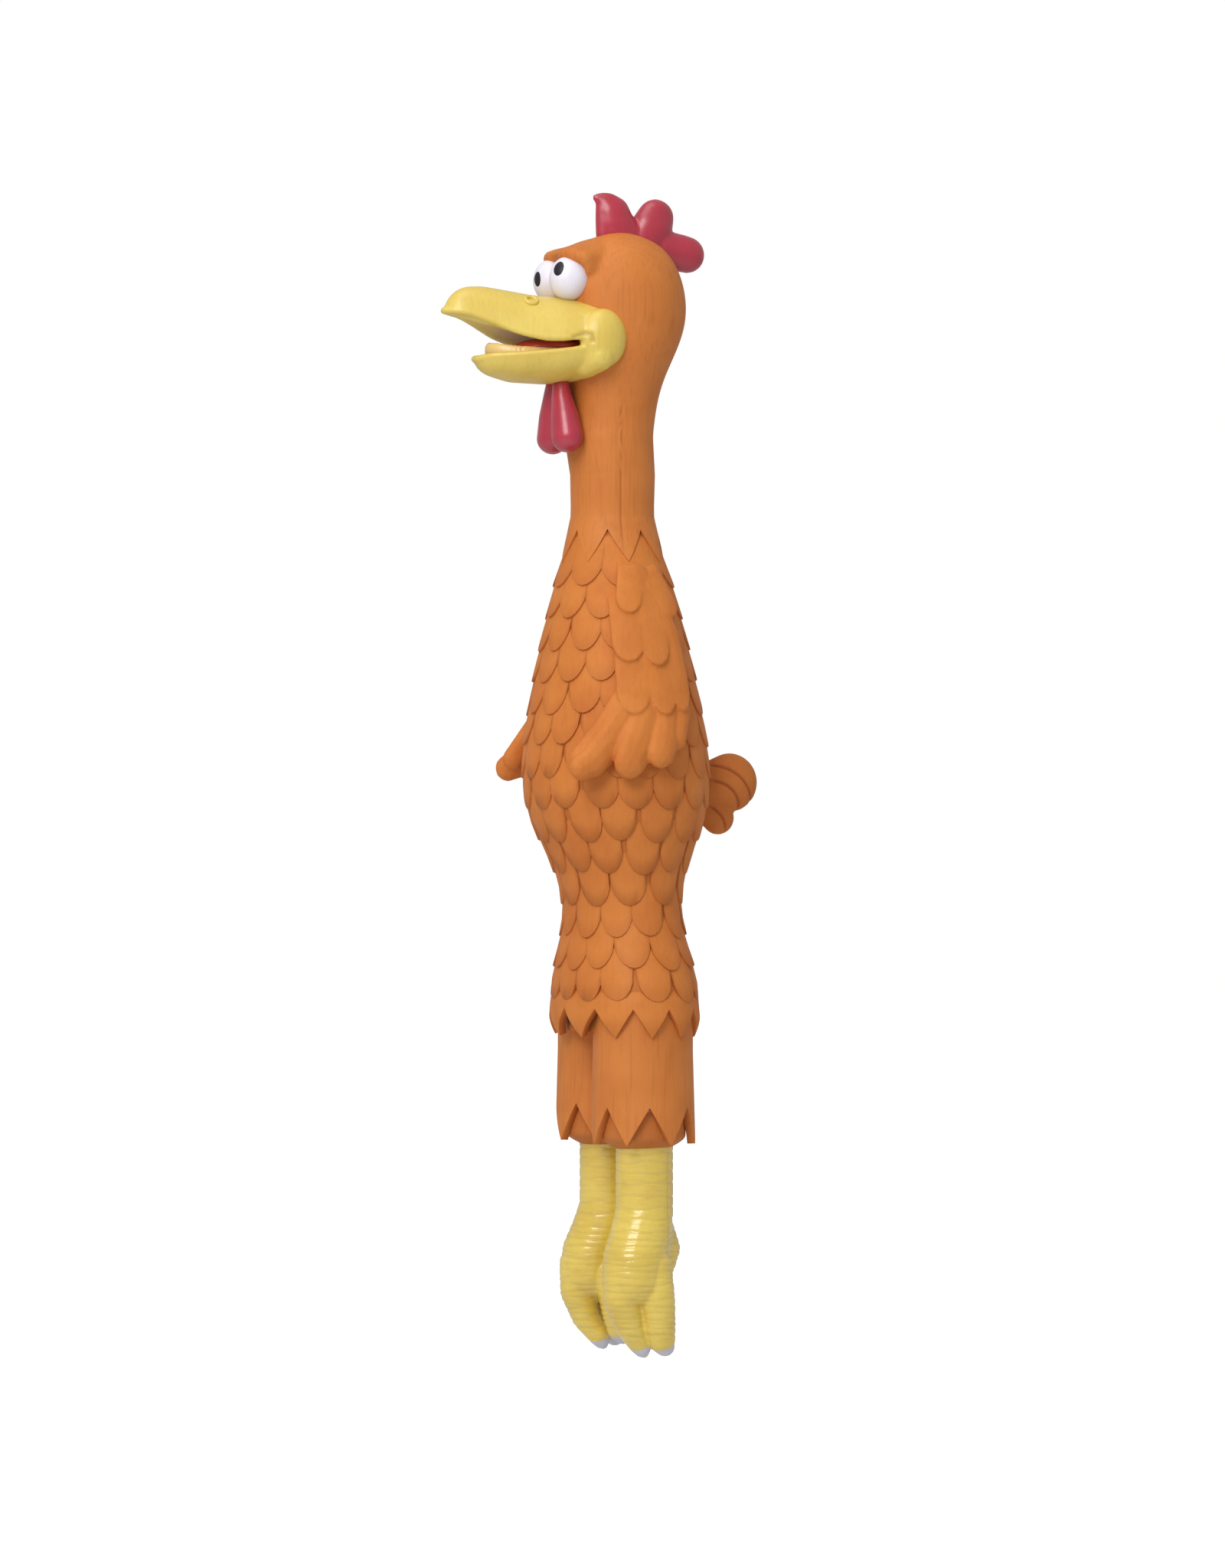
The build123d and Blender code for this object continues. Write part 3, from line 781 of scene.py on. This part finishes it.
# %% Slimmer copies
for body, wide_at, slim_at in (("head", 38, 12), ("torso", -16, -1)):
    filled = bpy.data.objects.new(f"{body}_filling", nodes[f"{body}_stuffing"].data.copy())
    bpy.context.collection.objects.link(filled)
    fill_places = points(filled)
    fill_places[:, :2] *= 1 - 0.45 * np.clip((wide_at - fill_places[:, 2:3]) / (wide_at - slim_at), 0, 1)
    move(filled, fill_places)
    dress(filled, fibre, "stuffing", f"{body}_stuffing")
    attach(filled, body)


# %% [markdown]
# ## Beak
#
# The beak is lofted across the bird: each section is an arch from lip to lip with a hollow palate
# under it. The cheeks are fat rolls round the corners of the mouth. Both are melted together, so
# that the lips come out as rounded as poured latex.

# %% Sections of the beak: place along it, height of the lip, half width, height of the arch
UPPER = np.array([(-8, 59.4, 21.0, 13.4), (-12, 58.8, 21.2, 14.2), (-25, 57.3, 18.2, 16.2),
                  (-31, 57.2, 16.0, 16.6), (-40, 59.4, 12.5, 15.7), (-49, 63.4, 8.8, 12.9),
                  (-55, 65.8, 6.6, 10.2), (-59, 66.4, 5.4, 7.8), (-61.4, 66.4, 3.8, 4.8),
                  (-62.4, 66.6, 1.8, 2.2)])
LOWER = np.array([(-8, 57.0, 20.6, 11.6), (-12, 56.6, 20.6, 12), (-25, 54.9, 17.8, 11.4),
                  (-38, 53.6, 12.8, 9.8), (-46, 53.2, 8.8, 7.4), (-49.6, 53.0, 5.6, 5.2),
                  (-50.8, 52.4, 2.6, 2.6)])


ROUNDING_PASSES = 3


def between_rows(table, y, column):
    """A value between two rows, along a straight line. The tables run towards the tip."""
    return np.interp(y, table[::-1, 0], table[::-1, column])


def smooth_table(table, steps=60):
    """Resamples a table evenly along the beak and rounds its corners off."""
    y = np.linspace(table[0, 0], table[-1, 0], steps)
    rows = np.stack([y] + [between_rows(table, y, i) for i in (1, 2, 3)], axis=1)
    for _ in range(ROUNDING_PASSES):
        rows[1:-1, 1:] = (rows[:-2, 1:] + 2 * rows[1:-1, 1:] + rows[2:, 1:]) / 4
    return rows


LIP_WALL = 2.0
LIP_RADIUS = 1.25


def lip_roll(table, up):
    """A bead of latex round the lip, which rounds its edge off."""
    level = LIP_RADIUS * 0.75 if up else -LIP_RADIUS * 0.75
    line = [(a - LIP_RADIUS * 0.7, y, lip + level, LIP_RADIUS)
            for y, lip, a, _ in smooth_table(table, 36) if y < -14]
    tip = [(x * 0.5, y - 0.2, z, r) for x, y, z, r in line[-1:]]
    left_half = line + tip
    right_half = [(-x, y, z, r) for x, y, z, r in reversed(left_half)]
    return pellets("lip_roll", string(*left_half, *right_half, step=0.7), subdivisions=2)


BOWL_POWER = 3.0            # how flat the hollow's floor is


def half_beak(name, table, up, hollow):
    """A beak half: an arch on one side of the lip, and a hollow on the other."""
    rows = smooth_table(table)

    def place(turn, share):
        y = rows[0, 0] + (rows[-1, 0] - rows[0, 0]) * share
        lip, a, c = (between_rows(rows, y, i) for i in (1, 2, 3))
        x = a * np.cos(turn)
        room = np.clip((a - LIP_WALL) / a, 0.02, 1)
        arch = c * np.abs(np.sin(turn)) ** 0.9
        bowl = c * room * hollow * (1 - (np.abs(np.cos(turn))) ** BOWL_POWER)
        z = np.where(np.sin(turn) >= 0, arch, bowl)
        x = np.where(np.sin(turn) >= 0, x, x * room)
        return x, y, lip + (z if up else -z)

    return rolled(name, 72, 60, place)


upper = half_beak("upper_half", UPPER, up=True, hollow=0.16)
lower = half_beak("lower_half", LOWER, up=False, hollow=0.66)
cheeks = []
for side in (1, -1):
    cheeks.append(pellets("cheek", [(side * 17.2, -11.2, 58.6, 10.2)], (0.56, 0.84, 1)))
    roll = string((side * 17.0, -12.4, 52.6, 5.6), (side * 12.5, -15.2, 50.2, 5.2),
                  (side * 5, -17.4, 48.6, 4.4), (0, -17.6, 48.4, 4.2), step=1.2)
    cheeks.append(pellets("jowl", roll, subdivisions=2))
beak = joined("beak_and_cheeks", [upper, lower, lip_roll(UPPER, True), lip_roll(LOWER, False)] + cheeks)
melted(beak, 0.55, 7)

# %% The crease at the corner of the mouth, and the beak's paint
places = points(beak)
normals = np.array([v.normal for v in beak.data.vertices])
SMILE = [(-22.5, 58.6), (-19.0, 59.8), (-17.2, 59.2), (-16.8, 57.2)]    # seen from the side, (y, z)
SMILE_DEPTH = 0.6
smile = np.full(len(places), 9.0)
for (y0, z0), (y1, z1) in zip(SMILE, SMILE[1:]):
    run = np.array([y1 - y0, z1 - z0])
    off = places[:, 1:] - np.array([y0, z0])
    share = np.clip(off @ run / (run @ run), 0, 1)
    smile = np.minimum(smile, np.linalg.norm(off - share[:, None] * run, axis=1))
smile = np.exp(-(smile / 0.75) ** 2) * (np.abs(places[:, 0]) > 14)
move(beak, places - normals * smile[:, None] * SMILE_DEPTH)
lip = between_rows(smooth_table(UPPER), places[:, 1], 1)
palate = (normals[:, 2] < -0.1) & (places[:, 2] > lip + 0.8) & (places[:, 1] < -12)
# The corner of the mouth and the palate are darker: painted shade, with darker paint in the corner's
# crease.
dress(beak, mustard, "beak_latex", "upper_beak", "beak_cheeks", "lower_beak",
      groove_paint_and_shade_levels=np.maximum(smile * 0.5, palate * 0.05))
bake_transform(beak)

# %% The mouth: a red lining and tongue, and the cream ridge inside the lip
lining = pellets("mouth_lining_skin", string((0, -17, 51.4, 9.5), (0, -24, 51.0, 8.6), (0, -34, 50.4, 5.4),
                                             (0, -43, 50.6, 2.6), step=1.5), (1.4, 1, 0.26))
melted(lining, 0.6, 4)
dress(lining, mouth_red, "mouth_red", "mouth_lining")
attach(lining, "jaw")
tongue = pellets("tongue_body", string((0, -15, 55.0, 8.4), (0, -22, 56.2, 8.8), (0, -29, 55.9, 7.2),
                                       (0, -36, 54.2, 4.2), step=1.2), (1.35, 1, 0.40))
melted(tongue, 0.5, 5)
dress(tongue, mouth_red, "mouth_red", "tongue")
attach(tongue, "jaw")
RIDGE_HALF_WIDTH, RIDGE_REACH, RIDGE_LEVEL, RIDGE_LIFT = 12.2, 30.0, 53.0, 1.8
ridge_line = [(RIDGE_HALF_WIDTH * math.cos(math.radians(a)), -16 + RIDGE_REACH * math.sin(math.radians(a)),
               RIDGE_LEVEL + RIDGE_LIFT * math.sin(math.radians(-a)) ** 4) for a in range(-168, -11, 4)]
ridge = pellets("lower_lip_ridge_body", string(*[(*p, 1.2) for p in ridge_line], step=0.8), (1, 1, 2.1), 2)
melted(ridge, 0.4, 3)
dress(ridge, lip_cream, "beak_latex", "lower_lip_ridge")
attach(ridge, "jaw")


# %% Nostrils
def ring_on_beak(name, side):
    """A moulded ring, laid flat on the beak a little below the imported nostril."""
    low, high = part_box(name)
    outward = Vector((0.91 * side, -0.41, 0))
    tree = BVHTree.FromObject(beak, bpy.context.evaluated_depsgraph_get())
    start = (low + high) / 2 + Vector((0, 0, -1.8 * MM)) + outward * 20 * MM
    spot, outward, _, _ = tree.ray_cast(start, -outward)
    bpy.ops.object.select_all(action="DESELECT")
    bpy.ops.mesh.primitive_torus_add(major_segments=28, minor_segments=12, major_radius=2.0 * MM,
                                     minor_radius=0.75 * MM, location=spot + outward * 0.1 * MM,
                                     rotation=outward.to_track_quat("Z", "Y").to_euler())
    ring = made(f"{name}_ring")
    bpy.ops.object.transform_apply(location=True, rotation=True, scale=True)
    dress(ring, mustard, "beak_latex", name)
    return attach(ring, "head")


for name, side in (("left_nostril", 1), ("right_nostril", -1)):
    ring_on_beak(name, side)


# %% [markdown]
# ## Eyes
#
# Two bulging whites touch between the brows. The pupils are spots of black paint, so each is a thin
# dome that follows the white: a disc whose points are pushed on to the egg's surface.

# %% Whites and pupils
EYE_HALF = (6.75, 6.9, 7.7)
EYE = {"left": (6.9, -19.3, 79.4), "right": (-6.9, -19.3, 79.6)}
PUPIL = {"left": (3.1, -5.3, 3.1), "right": (1.5, -6.6, 0.4)}       # from the eye's centre
PUPIL_SIZE = {"left": (0.31, 0.38), "right": (0.27, 0.36)}          # width and height, in eye halves
PUPIL_LEAN = 0.20                                                   # radians
PUPIL_SWELL = 0.035
for side, centre in EYE.items():
    bpy.ops.object.select_all(action="DESELECT")
    bpy.ops.mesh.primitive_uv_sphere_add(segments=64, ring_count=40, radius=1)
    white = made(f"{side}_eye_white")
    places = points(white) * MM
    move(white, places * np.array(EYE_HALF) + np.array(centre))
    tidy_shell(white, close=False)
    dress(white, eye_white, "eye_white", f"{side}_eye")
    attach(white, "head")
    outward = Vector([p / h for p, h in zip(PUPIL[side], EYE_HALF)]).normalized()
    bpy.ops.object.select_all(action="DESELECT")
    bpy.ops.mesh.primitive_uv_sphere_add(segments=40, ring_count=20, radius=1)
    spot = made(f"{side}_pupil_spot")
    flat = points(spot) * MM
    level = outward.cross(Vector((0, 0, 1))).normalized()
    upright = level.cross(outward).normalized()
    across_it = level * math.cos(PUPIL_LEAN) - upright * math.sin(PUPIL_LEAN)
    up_it = upright * math.cos(PUPIL_LEAN) + level * math.sin(PUPIL_LEAN)
    width, tall = PUPIL_SIZE[side]
    spread = (flat[:, :1] * np.array(across_it) * width + flat[:, 1:2] * np.array(up_it) * tall
              + np.array(outward))
    spread /= np.linalg.norm(spread, axis=1)[:, None]
    swell = 1 + PUPIL_SWELL * flat[:, 2:3]
    move(spot, spread * swell * np.array(EYE_HALF) + np.array(centre))
    tidy_shell(spot, close=False)
    dress(spot, eye_black, "eye_black", f"{side}_pupil")
    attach(spot, "head")

# %% [markdown]
# ## Comb and wattles
#
# Both are crimson, plump and a little uneven. The comb is three lobes in a row, the front one with a
# point that leans forwards, and the wattles are two drops that hang side by side from the throat.

# %% Comb
front_lobe = string((0, 4.6, 95.6, 6.6), (0, 1.4, 99.5, 6.6), (0, 0.4, 103.2, 5.9), (0, -1.6, 106.0, 4.2),
                    (0, -4.2, 107.8, 2.4), (0, -6.2, 108.2, 1.5), step=0.7)
front_lobe += string((0, -2.2, 95.5, 4.0), (0, -2.8, 100.5, 3.6), (0, -3.4, 104.5, 3.0), step=0.8)
middle_lobe = string((0, 12.0, 94.0, 7.2), (0, 14.8, 98.6, 7.6), (0, 16.2, 102.0, 6.7), step=0.8)
rear_lobe = string((0, 19.0, 91.6, 6.6), (0, 26.0, 90.2, 6.6), (0, 28.2, 89.8, 6.4), step=0.8)
lobes = [pellets("lobe", beads, (0.72, 1, 1)) for beads in (front_lobe, middle_lobe, rear_lobe)]
for lobe in lobes:
    melted(lobe, 0.6, 8)
comb = joined("comb_of_three_lobes", lobes)
melted(comb, 0.5, 2)
dress(comb, crimson, "crimson_latex", "comb")
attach(comb, "head")

# %% Wattles
for side, sign in (("left", 1), ("right", -1)):
    drop_beads = string((sign * 2.7, -20.6, 45.0, 2.7), (sign * 3.6, -20.7, 39.5, 3.4),
                        (sign * 5.2, -20.2, 32.4, 4.7), (sign * 6.2, -19.7, 25.4, 5.5), step=0.8)
    wattle = melted(pellets(f"{side}_wattle_drop", drop_beads, (1.12, 1, 1)), 0.5, 6)
    dress(wattle, crimson, "crimson_latex", f"{side}_wattle")
    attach(wattle, "head")

# %% [markdown]
# ## Wings
#
# Each wing lies along the body and frees itself towards its tips. It has short covering feathers
# above and blunt fingers below, all carved in one lump. So a pad and the fingers are built up from
# flat beads, the covering feathers are laid on them, and all of it is melted together just enough to
# round the joins.

# %% Wing feathers
WING_STAND = np.array([(-100, 12.0), (-92, 10.6), (-80, 7.6), (-71, 5.4), (-62, 4.4), (-50, 3.6),
                       (-30, 2.4), (-17, 0.9), (0, 0.0)])


def on_wing(turn, z, rise=0.0):
    """The wing's own surface, which stands off the body more and more towards its tips."""
    return on_body(turn, z, np.interp(z, WING_STAND[:, 0], WING_STAND[:, 1]) + rise)


def wing_bead(turn, z, radius, out, flat):
    """A flat bead whose outer face stands out from the wing's own surface by so much."""
    x, y, z = on_wing(np.array([math.radians(turn)]), np.array([z]), out - radius * flat)
    return float(x[0]), float(y[0]), float(z[0]), radius


def wing_feather(flat, *stations):
    """A feather of flat beads, from stations (turn, height, radius, how far it stands out)."""
    beads = string(*[wing_bead(*station, flat) for station in stations], step=0.8)
    return pellets("wing_feather", beads, (flat, 1, 1), 2)


wing_feather_shape = feather(columns=8, rows=6, round_end=0.34, crown=0.5, drop=1.5)
# two flat pads, then the fingers from front to rear
parts = [
    wing_feather(0.3, (-4, -24, 6, -0.6), (-4, -34, 9, -0.6), (-2, -50, 10.5, -0.6), (-6, -66, 10.5, -1.0)),
    wing_feather(0.3, (6, -30, 6, -0.6), (10, -44, 8, -0.6), (12, -60, 8, -0.8), (10, -70, 7, -1.0)),
    wing_feather(0.62, (-10, -62, 5.2, -0.4), (-18, -70, 6.4, -0.1), (-28, -79, 6.2, 0.2),
                 (-37, -86, 5.4, 0.6), (-41, -87.8, 4.7, 2.2)),
    wing_feather(0.62, (-20, -64, 4.2, -1.2), (-30, -74, 4.6, -0.7), (-43, -84.5, 4.2, -0.2)),
    wing_feather(0.62, (-2, -62, 5.8, -0.4), (-9, -74, 7.2, -0.1), (-15, -81.6, 6.9, 0.0),
                 (-18, -86.0, 5.8, 0.0)),
    wing_feather(0.62, (7, -60, 5.6, -0.6), (5, -72, 6.4, -0.4), (1.5, -79.4, 6.0, -0.1),
                 (-0.5, -83.0, 5.2, -0.1)),
    wing_feather(0.55, (17, -44, 4.4, -0.6), (19, -56, 4.8, -0.6), (15.5, -70, 4.8, -0.6),
                 (10, -78, 4.2, -0.8)),
]
# turn and height of the root, width, length, how far root and tip stand up, tilt in degrees
COVERS = [
    (-14, -40, 12.0, 30.6, -1.6, 0.9, -1), (6, -40, 10.2, 30.8, -1.6, 0.8, -3),
    (23, -36, 9.0, 34, -1.4, 0.6, -8),
    (-17.5, -27, 11.2, 25.6, -1.2, 1.3, 1), (7, -27, 10.4, 27.0, -1.2, 1.2, -6),
    (9, -17.6, 8.4, 20.5, -0.4, 0.8, 22), (-6, -16.6, 8.6, 19.6, 0.0, 1.6, -14),
]
parts += [lay(wing_feather_shape, on_wing, math.radians(t), z, w, length, root, tip, math.radians(tilt))
          for t, z, w, length, root, tip, tilt in COVERS]
left_wing = joined("left_wing_feathers", parts)
melted(left_wing, 0.5, 3)
right_wing = mirrored(left_wing, "right_wing_feathers")
for side, sign, wing in (("left", 1, left_wing), ("right", -1, right_wing)):
    dress(wing, feather_orange, "orange_latex", f"{side}_wing_shoulder", f"{side}_wing_tip")
    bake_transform(wing)

# %% [markdown]
# ## Tail
#
# Two fat lobes with carved curves across them, like a fan that has been pressed flat.

# %% Tail lobes
upper_lobe = string((0, 33, -94, 6.0), (0, 38, -93.5, 8.4), (0, 44.4, -92.8, 10.3), step=1.0)
lower_lobe = string((0, 32, -100, 4.5), (0, 36, -102, 5.4), (0, 40.0, -105.0, 6.0), step=1.0)
tail = joined("tail_of_two_lobes", [melted(pellets("lobe", beads, (0.62, 1, 1)), 0.6, 5)
                                    for beads in (upper_lobe, lower_lobe)])
melted(tail, 0.5, 2)
places = points(tail)
normals = np.array([v.normal for v in tail.data.vertices])
groove = np.zeros(len(places))
TAIL_CURVES = ((13.0, 34, -105), (18.5, 34, -105), (11.0, 31, -111))    # radius and centre, (y, z)
CURVE_DEPTH = 0.7
for radius, cy, cz in TAIL_CURVES:
    off = np.abs(np.hypot(places[:, 1] - cy, places[:, 2] - cz) - radius)
    groove = np.maximum(groove, np.exp(-(off / 0.6) ** 2))
groove *= np.clip((places[:, 1] - 33) / 4, 0, 1) * np.clip(np.abs(places[:, 0]) / 3, 0, 1)
move(tail, places - normals * groove[:, None] * CURVE_DEPTH)
# The carved curves are darker, with darker paint and painted shade in them, and the whole tail is a little
# darker.
dress(tail, feather_orange, "orange_latex", "tail_root", "tail_fan", groove_paint_and_shade_levels=np.maximum(groove * 0.9, 0.22))
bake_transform(tail)

# %% [markdown]
# ## Legs
#
# The trousers are tubes like the skirt. Inside each hem a plug of the same orange latex runs in to
# the shank. Shank and foot are one glossy yellow skin: spheres melted into a foot, then grooved with
# scales by pressing rings into it.

# %% Trousers
LEG_X, LEG_Y, THIGH_R = 15.0, 4.5, 17.0


def on_thigh(turn, z):
    """A tube with one flat side, where the two legs press together."""
    r = THIGH_R + 0.9 * np.clip((-185 - z) / 33, 0, 1)
    x = LEG_X + r * np.cos(turn)
    fore_and_aft = LEG_Y + (r + 0.4 * (np.sin(turn) > 0)) * np.sin(turn)
    return np.maximum(x, 0.15), fore_and_aft, z + 0 * turn


TROUSER_TURN = math.radians(-16)
thigh = hemmed("left_thigh_trouser", teeth=7, notch_turn=TROUSER_TURN, top=-164, notch=-203.2,
               point=-216.2, surface=on_thigh, wall=2.8, along=44, soft=0.5)


def lining_place(turn, share):
    """A tube behind the hem, rounded in to the shank at its foot."""
    r = np.where(share < 0.25, 9.2 + 5.6 * np.sin(share / 0.25 * math.pi / 2), 14.8)
    x = LEG_X + r * np.cos(turn) * np.where(np.cos(turn) < 0, 0.96, 1)
    return x, LEG_Y + r * np.sin(turn), -217.8 + 18 * share


plug = rolled("left_trouser_lining", 96, 24, lining_place)
thigh_out = np.hypot(points(thigh)[:, 0] - LEG_X, points(thigh)[:, 1] - LEG_Y)
thigh_shadow = hem_shadow((THIGH_R - thigh_out) * (points(thigh)[:, 2] < -200))
thigh_shadow = np.concatenate([thigh_shadow, np.full(len(plug.data.vertices), 0.35)])
thigh = joined("left_thigh_trouser", [thigh, plug])
for side, sign, piece in (("left", 1, thigh), ("right", -1, mirrored(thigh, "right_thigh_trouser"))):
    dress(piece, orange, "orange_latex", f"{side}_thigh_skin", f"{side}_thigh_hem", groove_paint_and_shade_levels=thigh_shadow)
    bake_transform(piece)

# %% Shank and foot
SHANK_R = 10.0
# shank, instep, heel and the middle of the foot
foot_beads = string((15.4, 5.1, -210, SHANK_R), (15.4, 5.1, -240, SHANK_R), step=2.0)
foot_beads += string((15.4, 5.1, -240, SHANK_R), (16.2, 3.2, -248, 10.6), (17.4, 0.4, -256, 11.0),
                     (17.8, -0.5, -262, 10.6), step=1.0)
foot_beads += string((14.6, 11.4, -246, 5.0), (14.4, 12.8, -252.5, 5.8), (14.8, 11.6, -258, 5.0),
                     step=1.0)
foot_beads += string((14.8, 5.4, -242, 9.6), (14.6, 6.4, -250, 9.2), (14.2, 5.8, -258, 8.8),
                     (14.2, 4.6, -266, 7.4), step=1.2)
TOES = [((18.6, -3.3, -260, 8.0), (18.4, -4.8, -269, 6.4), (18.4, -1.9, -278.0, 5.1),
         (17.2, 2.2, -284.0, 4.0)),
        ((20.0, 5.6, -258, 7.2), (21.4, 6.8, -269, 6.6), (21.4, 7.8, -277.5, 5.9),
         (21.0, 9.0, -283.0, 4.8)),
        ((10.4, 3.6, -262, 6.6), (8.4, 4.0, -270, 5.4), (8.8, 5.4, -277.6, 4.8),
         (9.4, 6.4, -281.8, 4.1))]
left_foot = pellets("left_shank_and_foot", foot_beads)
toes = [melted(pellets("toe", string(*toe, step=0.8)), 0.6, 3) for toe in TOES]
left_foot = melted(left_foot, 0.6, 8)
left_foot = joined("left_shank_and_foot", [left_foot] + toes)
melted(left_foot, 0.5, 2)

# %% Scales, as uneven rings pressed in, and the mould's seam
SCALE_DEPTH = 0.24
places = points(left_foot)
normals = np.array([v.normal for v in left_foot.data.vertices])
ring_rng = random.Random(3)
scale_rings = []
z = -213.0
while z > -283:
    scale_rings.append((z, ring_rng.uniform(0, 6.3), ring_rng.uniform(0.1, 0.4)))
    z -= ring_rng.uniform(2.6, 4.6) if z > -246 else ring_rng.uniform(1.7, 2.6)
turn = np.arctan2(places[:, 1] - LEG_Y, places[:, 0] - LEG_X)
groove = np.zeros(len(places))
for z, phase, swing in scale_rings:
    line = z + swing * np.sin(2 * turn + phase) + 0.25 * np.sin(5 * turn + 2 * phase)
    groove = np.maximum(groove, np.exp(-((places[:, 2] - line) / 0.4) ** 2))
seam = parting(turn, math.radians(33), 0.05) * (places[:, 2] > -262)
groove = np.maximum(groove, seam * 1.3)
move(left_foot, places - normals * groove[:, None] * SCALE_DEPTH)
right_foot = mirrored(left_foot, "right_shank_and_foot")
# The scale rings and the seam are a little darker: darker paint and painted shade in their grooves.
for side, sign, piece in (("left", 1, left_foot), ("right", -1, right_foot)):
    dress(piece, yellow, "leg_latex", f"{side}_shank_root", f"{side}_shank_skin", f"{side}_foot_skin",
          groove_paint_and_shade_levels=groove * 0.13)
    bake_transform(piece)

# %% Claws
left_claws = []
for toe in TOES:
    x, y, z, r = toe[-1]
    left_claws += string((x, y, z - 0.3, r * 0.94), (x, y + 1.2, z - 2.4, r * 0.72),
                         (x, y + 2.0, z - 3.9, 1.6), step=0.6)
claws = melted(pellets("left_claw_tips", left_claws), 0.45, 3)
for side, piece in (("left", claws), ("right", mirrored(claws, "right_claw_tips"))):
    dress(piece, claw_grey, "claw_white", f"{side}_claws")
    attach(piece, f"{side}_foot")

# %% [markdown]
# ## What stays as it came
#
# The rest of the filling and the squeaker are inside, and their imported shapes are right, so they get
# a material and nothing more. Only the squeaker's bellows has to change its shape as it is pressed,
# so it gets a mesh of its own.

# %% Inner parts
INNER = {"stuffing": fibre, "squeaker": squeaker_white}
for name, obj in nodes.items():
    for key, material in INNER.items():
        if key in name:
            obj.data.materials.clear()
            obj.data.materials.append(material)
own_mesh(nodes["squeaker_bellows"])

# %% The two feather patterns have done their work
bpy.data.objects.remove(small_feather)
bpy.data.objects.remove(wing_feather_shape)

# %% [markdown]
# ## Light, floor and camera
#
# A white room lights the toy from all round. Two broad lamps, one beside the camera and one high up,
# model its form. Floor and room look whiter to the camera than the light that they give, so that the
# ground is white and the toy still has its shading.

# %% Stage
scene = bpy.context.scene
scene.view_settings.view_transform = "Standard"
low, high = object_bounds()
bpy.ops.object.select_all(action="DESELECT")
bpy.ops.mesh.primitive_plane_add(size=8, location=(0, 0, low.z - 0.05))
floor = made("floor")
floor_paint = bpy.data.materials.new("floor_paint")
floor_paint.use_nodes = True
floor_shader = floor_paint.node_tree.nodes["Principled BSDF"]
floor_shader.inputs["Base Color"].default_value = (0.8, 0.8, 0.8, 1)
floor_shader.inputs["Roughness"].default_value = 0.9
floor_shader.inputs["Emission Color"].default_value = (1, 1, 1, 1)
floor_seen = floor_paint.node_tree.nodes.new("ShaderNodeLightPath")
FLOOR_GLOW = 0.75
floor_glow = ranged(floor_paint.node_tree, floor_seen.outputs["Is Camera Ray"], 0.0, 1.0, 0.0, FLOOR_GLOW)
floor_paint.node_tree.links.new(floor_glow, floor_shader.inputs["Emission Strength"])
floor.data.materials.append(floor_paint)

world = bpy.data.worlds.new("white_room")
scene.world = world
world.use_nodes = True
background = world.node_tree.nodes["Background"]
background.inputs["Color"].default_value = (1, 1, 1, 1)
seen = world.node_tree.nodes.new("ShaderNodeLightPath")
ROOM_LIGHT, ROOM_SEEN = 0.51, 1.0
strength = ranged(world.node_tree, seen.outputs["Is Camera Ray"], 0.0, 1.0, ROOM_LIGHT, ROOM_SEEN)
world.node_tree.links.new(strength, background.inputs["Strength"])

# %% Lamps and camera
VIEW_TURN, VIEW_RISE, VIEW_DISTANCE = math.radians(66), 0.0, 2.0
AIM = Vector((0, 0, -0.0933))       # the middle of the picture


def direction(turn, rise):
    """Towards a lamp or camera: turn 0 is the bird's front, 90 degrees its left side."""
    return Vector((math.cos(rise) * math.sin(turn), -math.cos(rise) * math.cos(turn), math.sin(rise)))


def lamp(name, turn, rise, distance, size, power):
    """A round area lamp that faces the aim, with turn and rise in degrees."""
    data = bpy.data.lights.new(name, "AREA")
    data.shape = "DISK"
    data.size = size
    data.energy = power
    obj = bpy.data.objects.new(name, data)
    bpy.context.collection.objects.link(obj)
    towards = direction(math.radians(turn), math.radians(rise))
    obj.location = AIM + towards * distance
    obj.rotation_euler = towards.to_track_quat("Z", "Y").to_euler()
    return obj


lamp("key_lamp", turn=44, rise=34, distance=1.3, size=0.7, power=8.8)
lamp("top_lamp", turn=30, rise=72, distance=1.2, size=0.8, power=3.0)

camera_data = bpy.data.cameras.new("camera")
camera = bpy.data.objects.new("camera", camera_data)
bpy.context.collection.objects.link(camera)
FRAME_HEIGHT = 0.5396       # metres that the picture's height covers at the toy
camera_data.lens = camera_data.sensor_width * VIEW_DISTANCE / FRAME_HEIGHT
towards = direction(VIEW_TURN, VIEW_RISE)
camera.location = AIM + towards * VIEW_DISTANCE
camera.rotation_euler = towards.to_track_quat("Z", "Y").to_euler()
scene.camera = camera
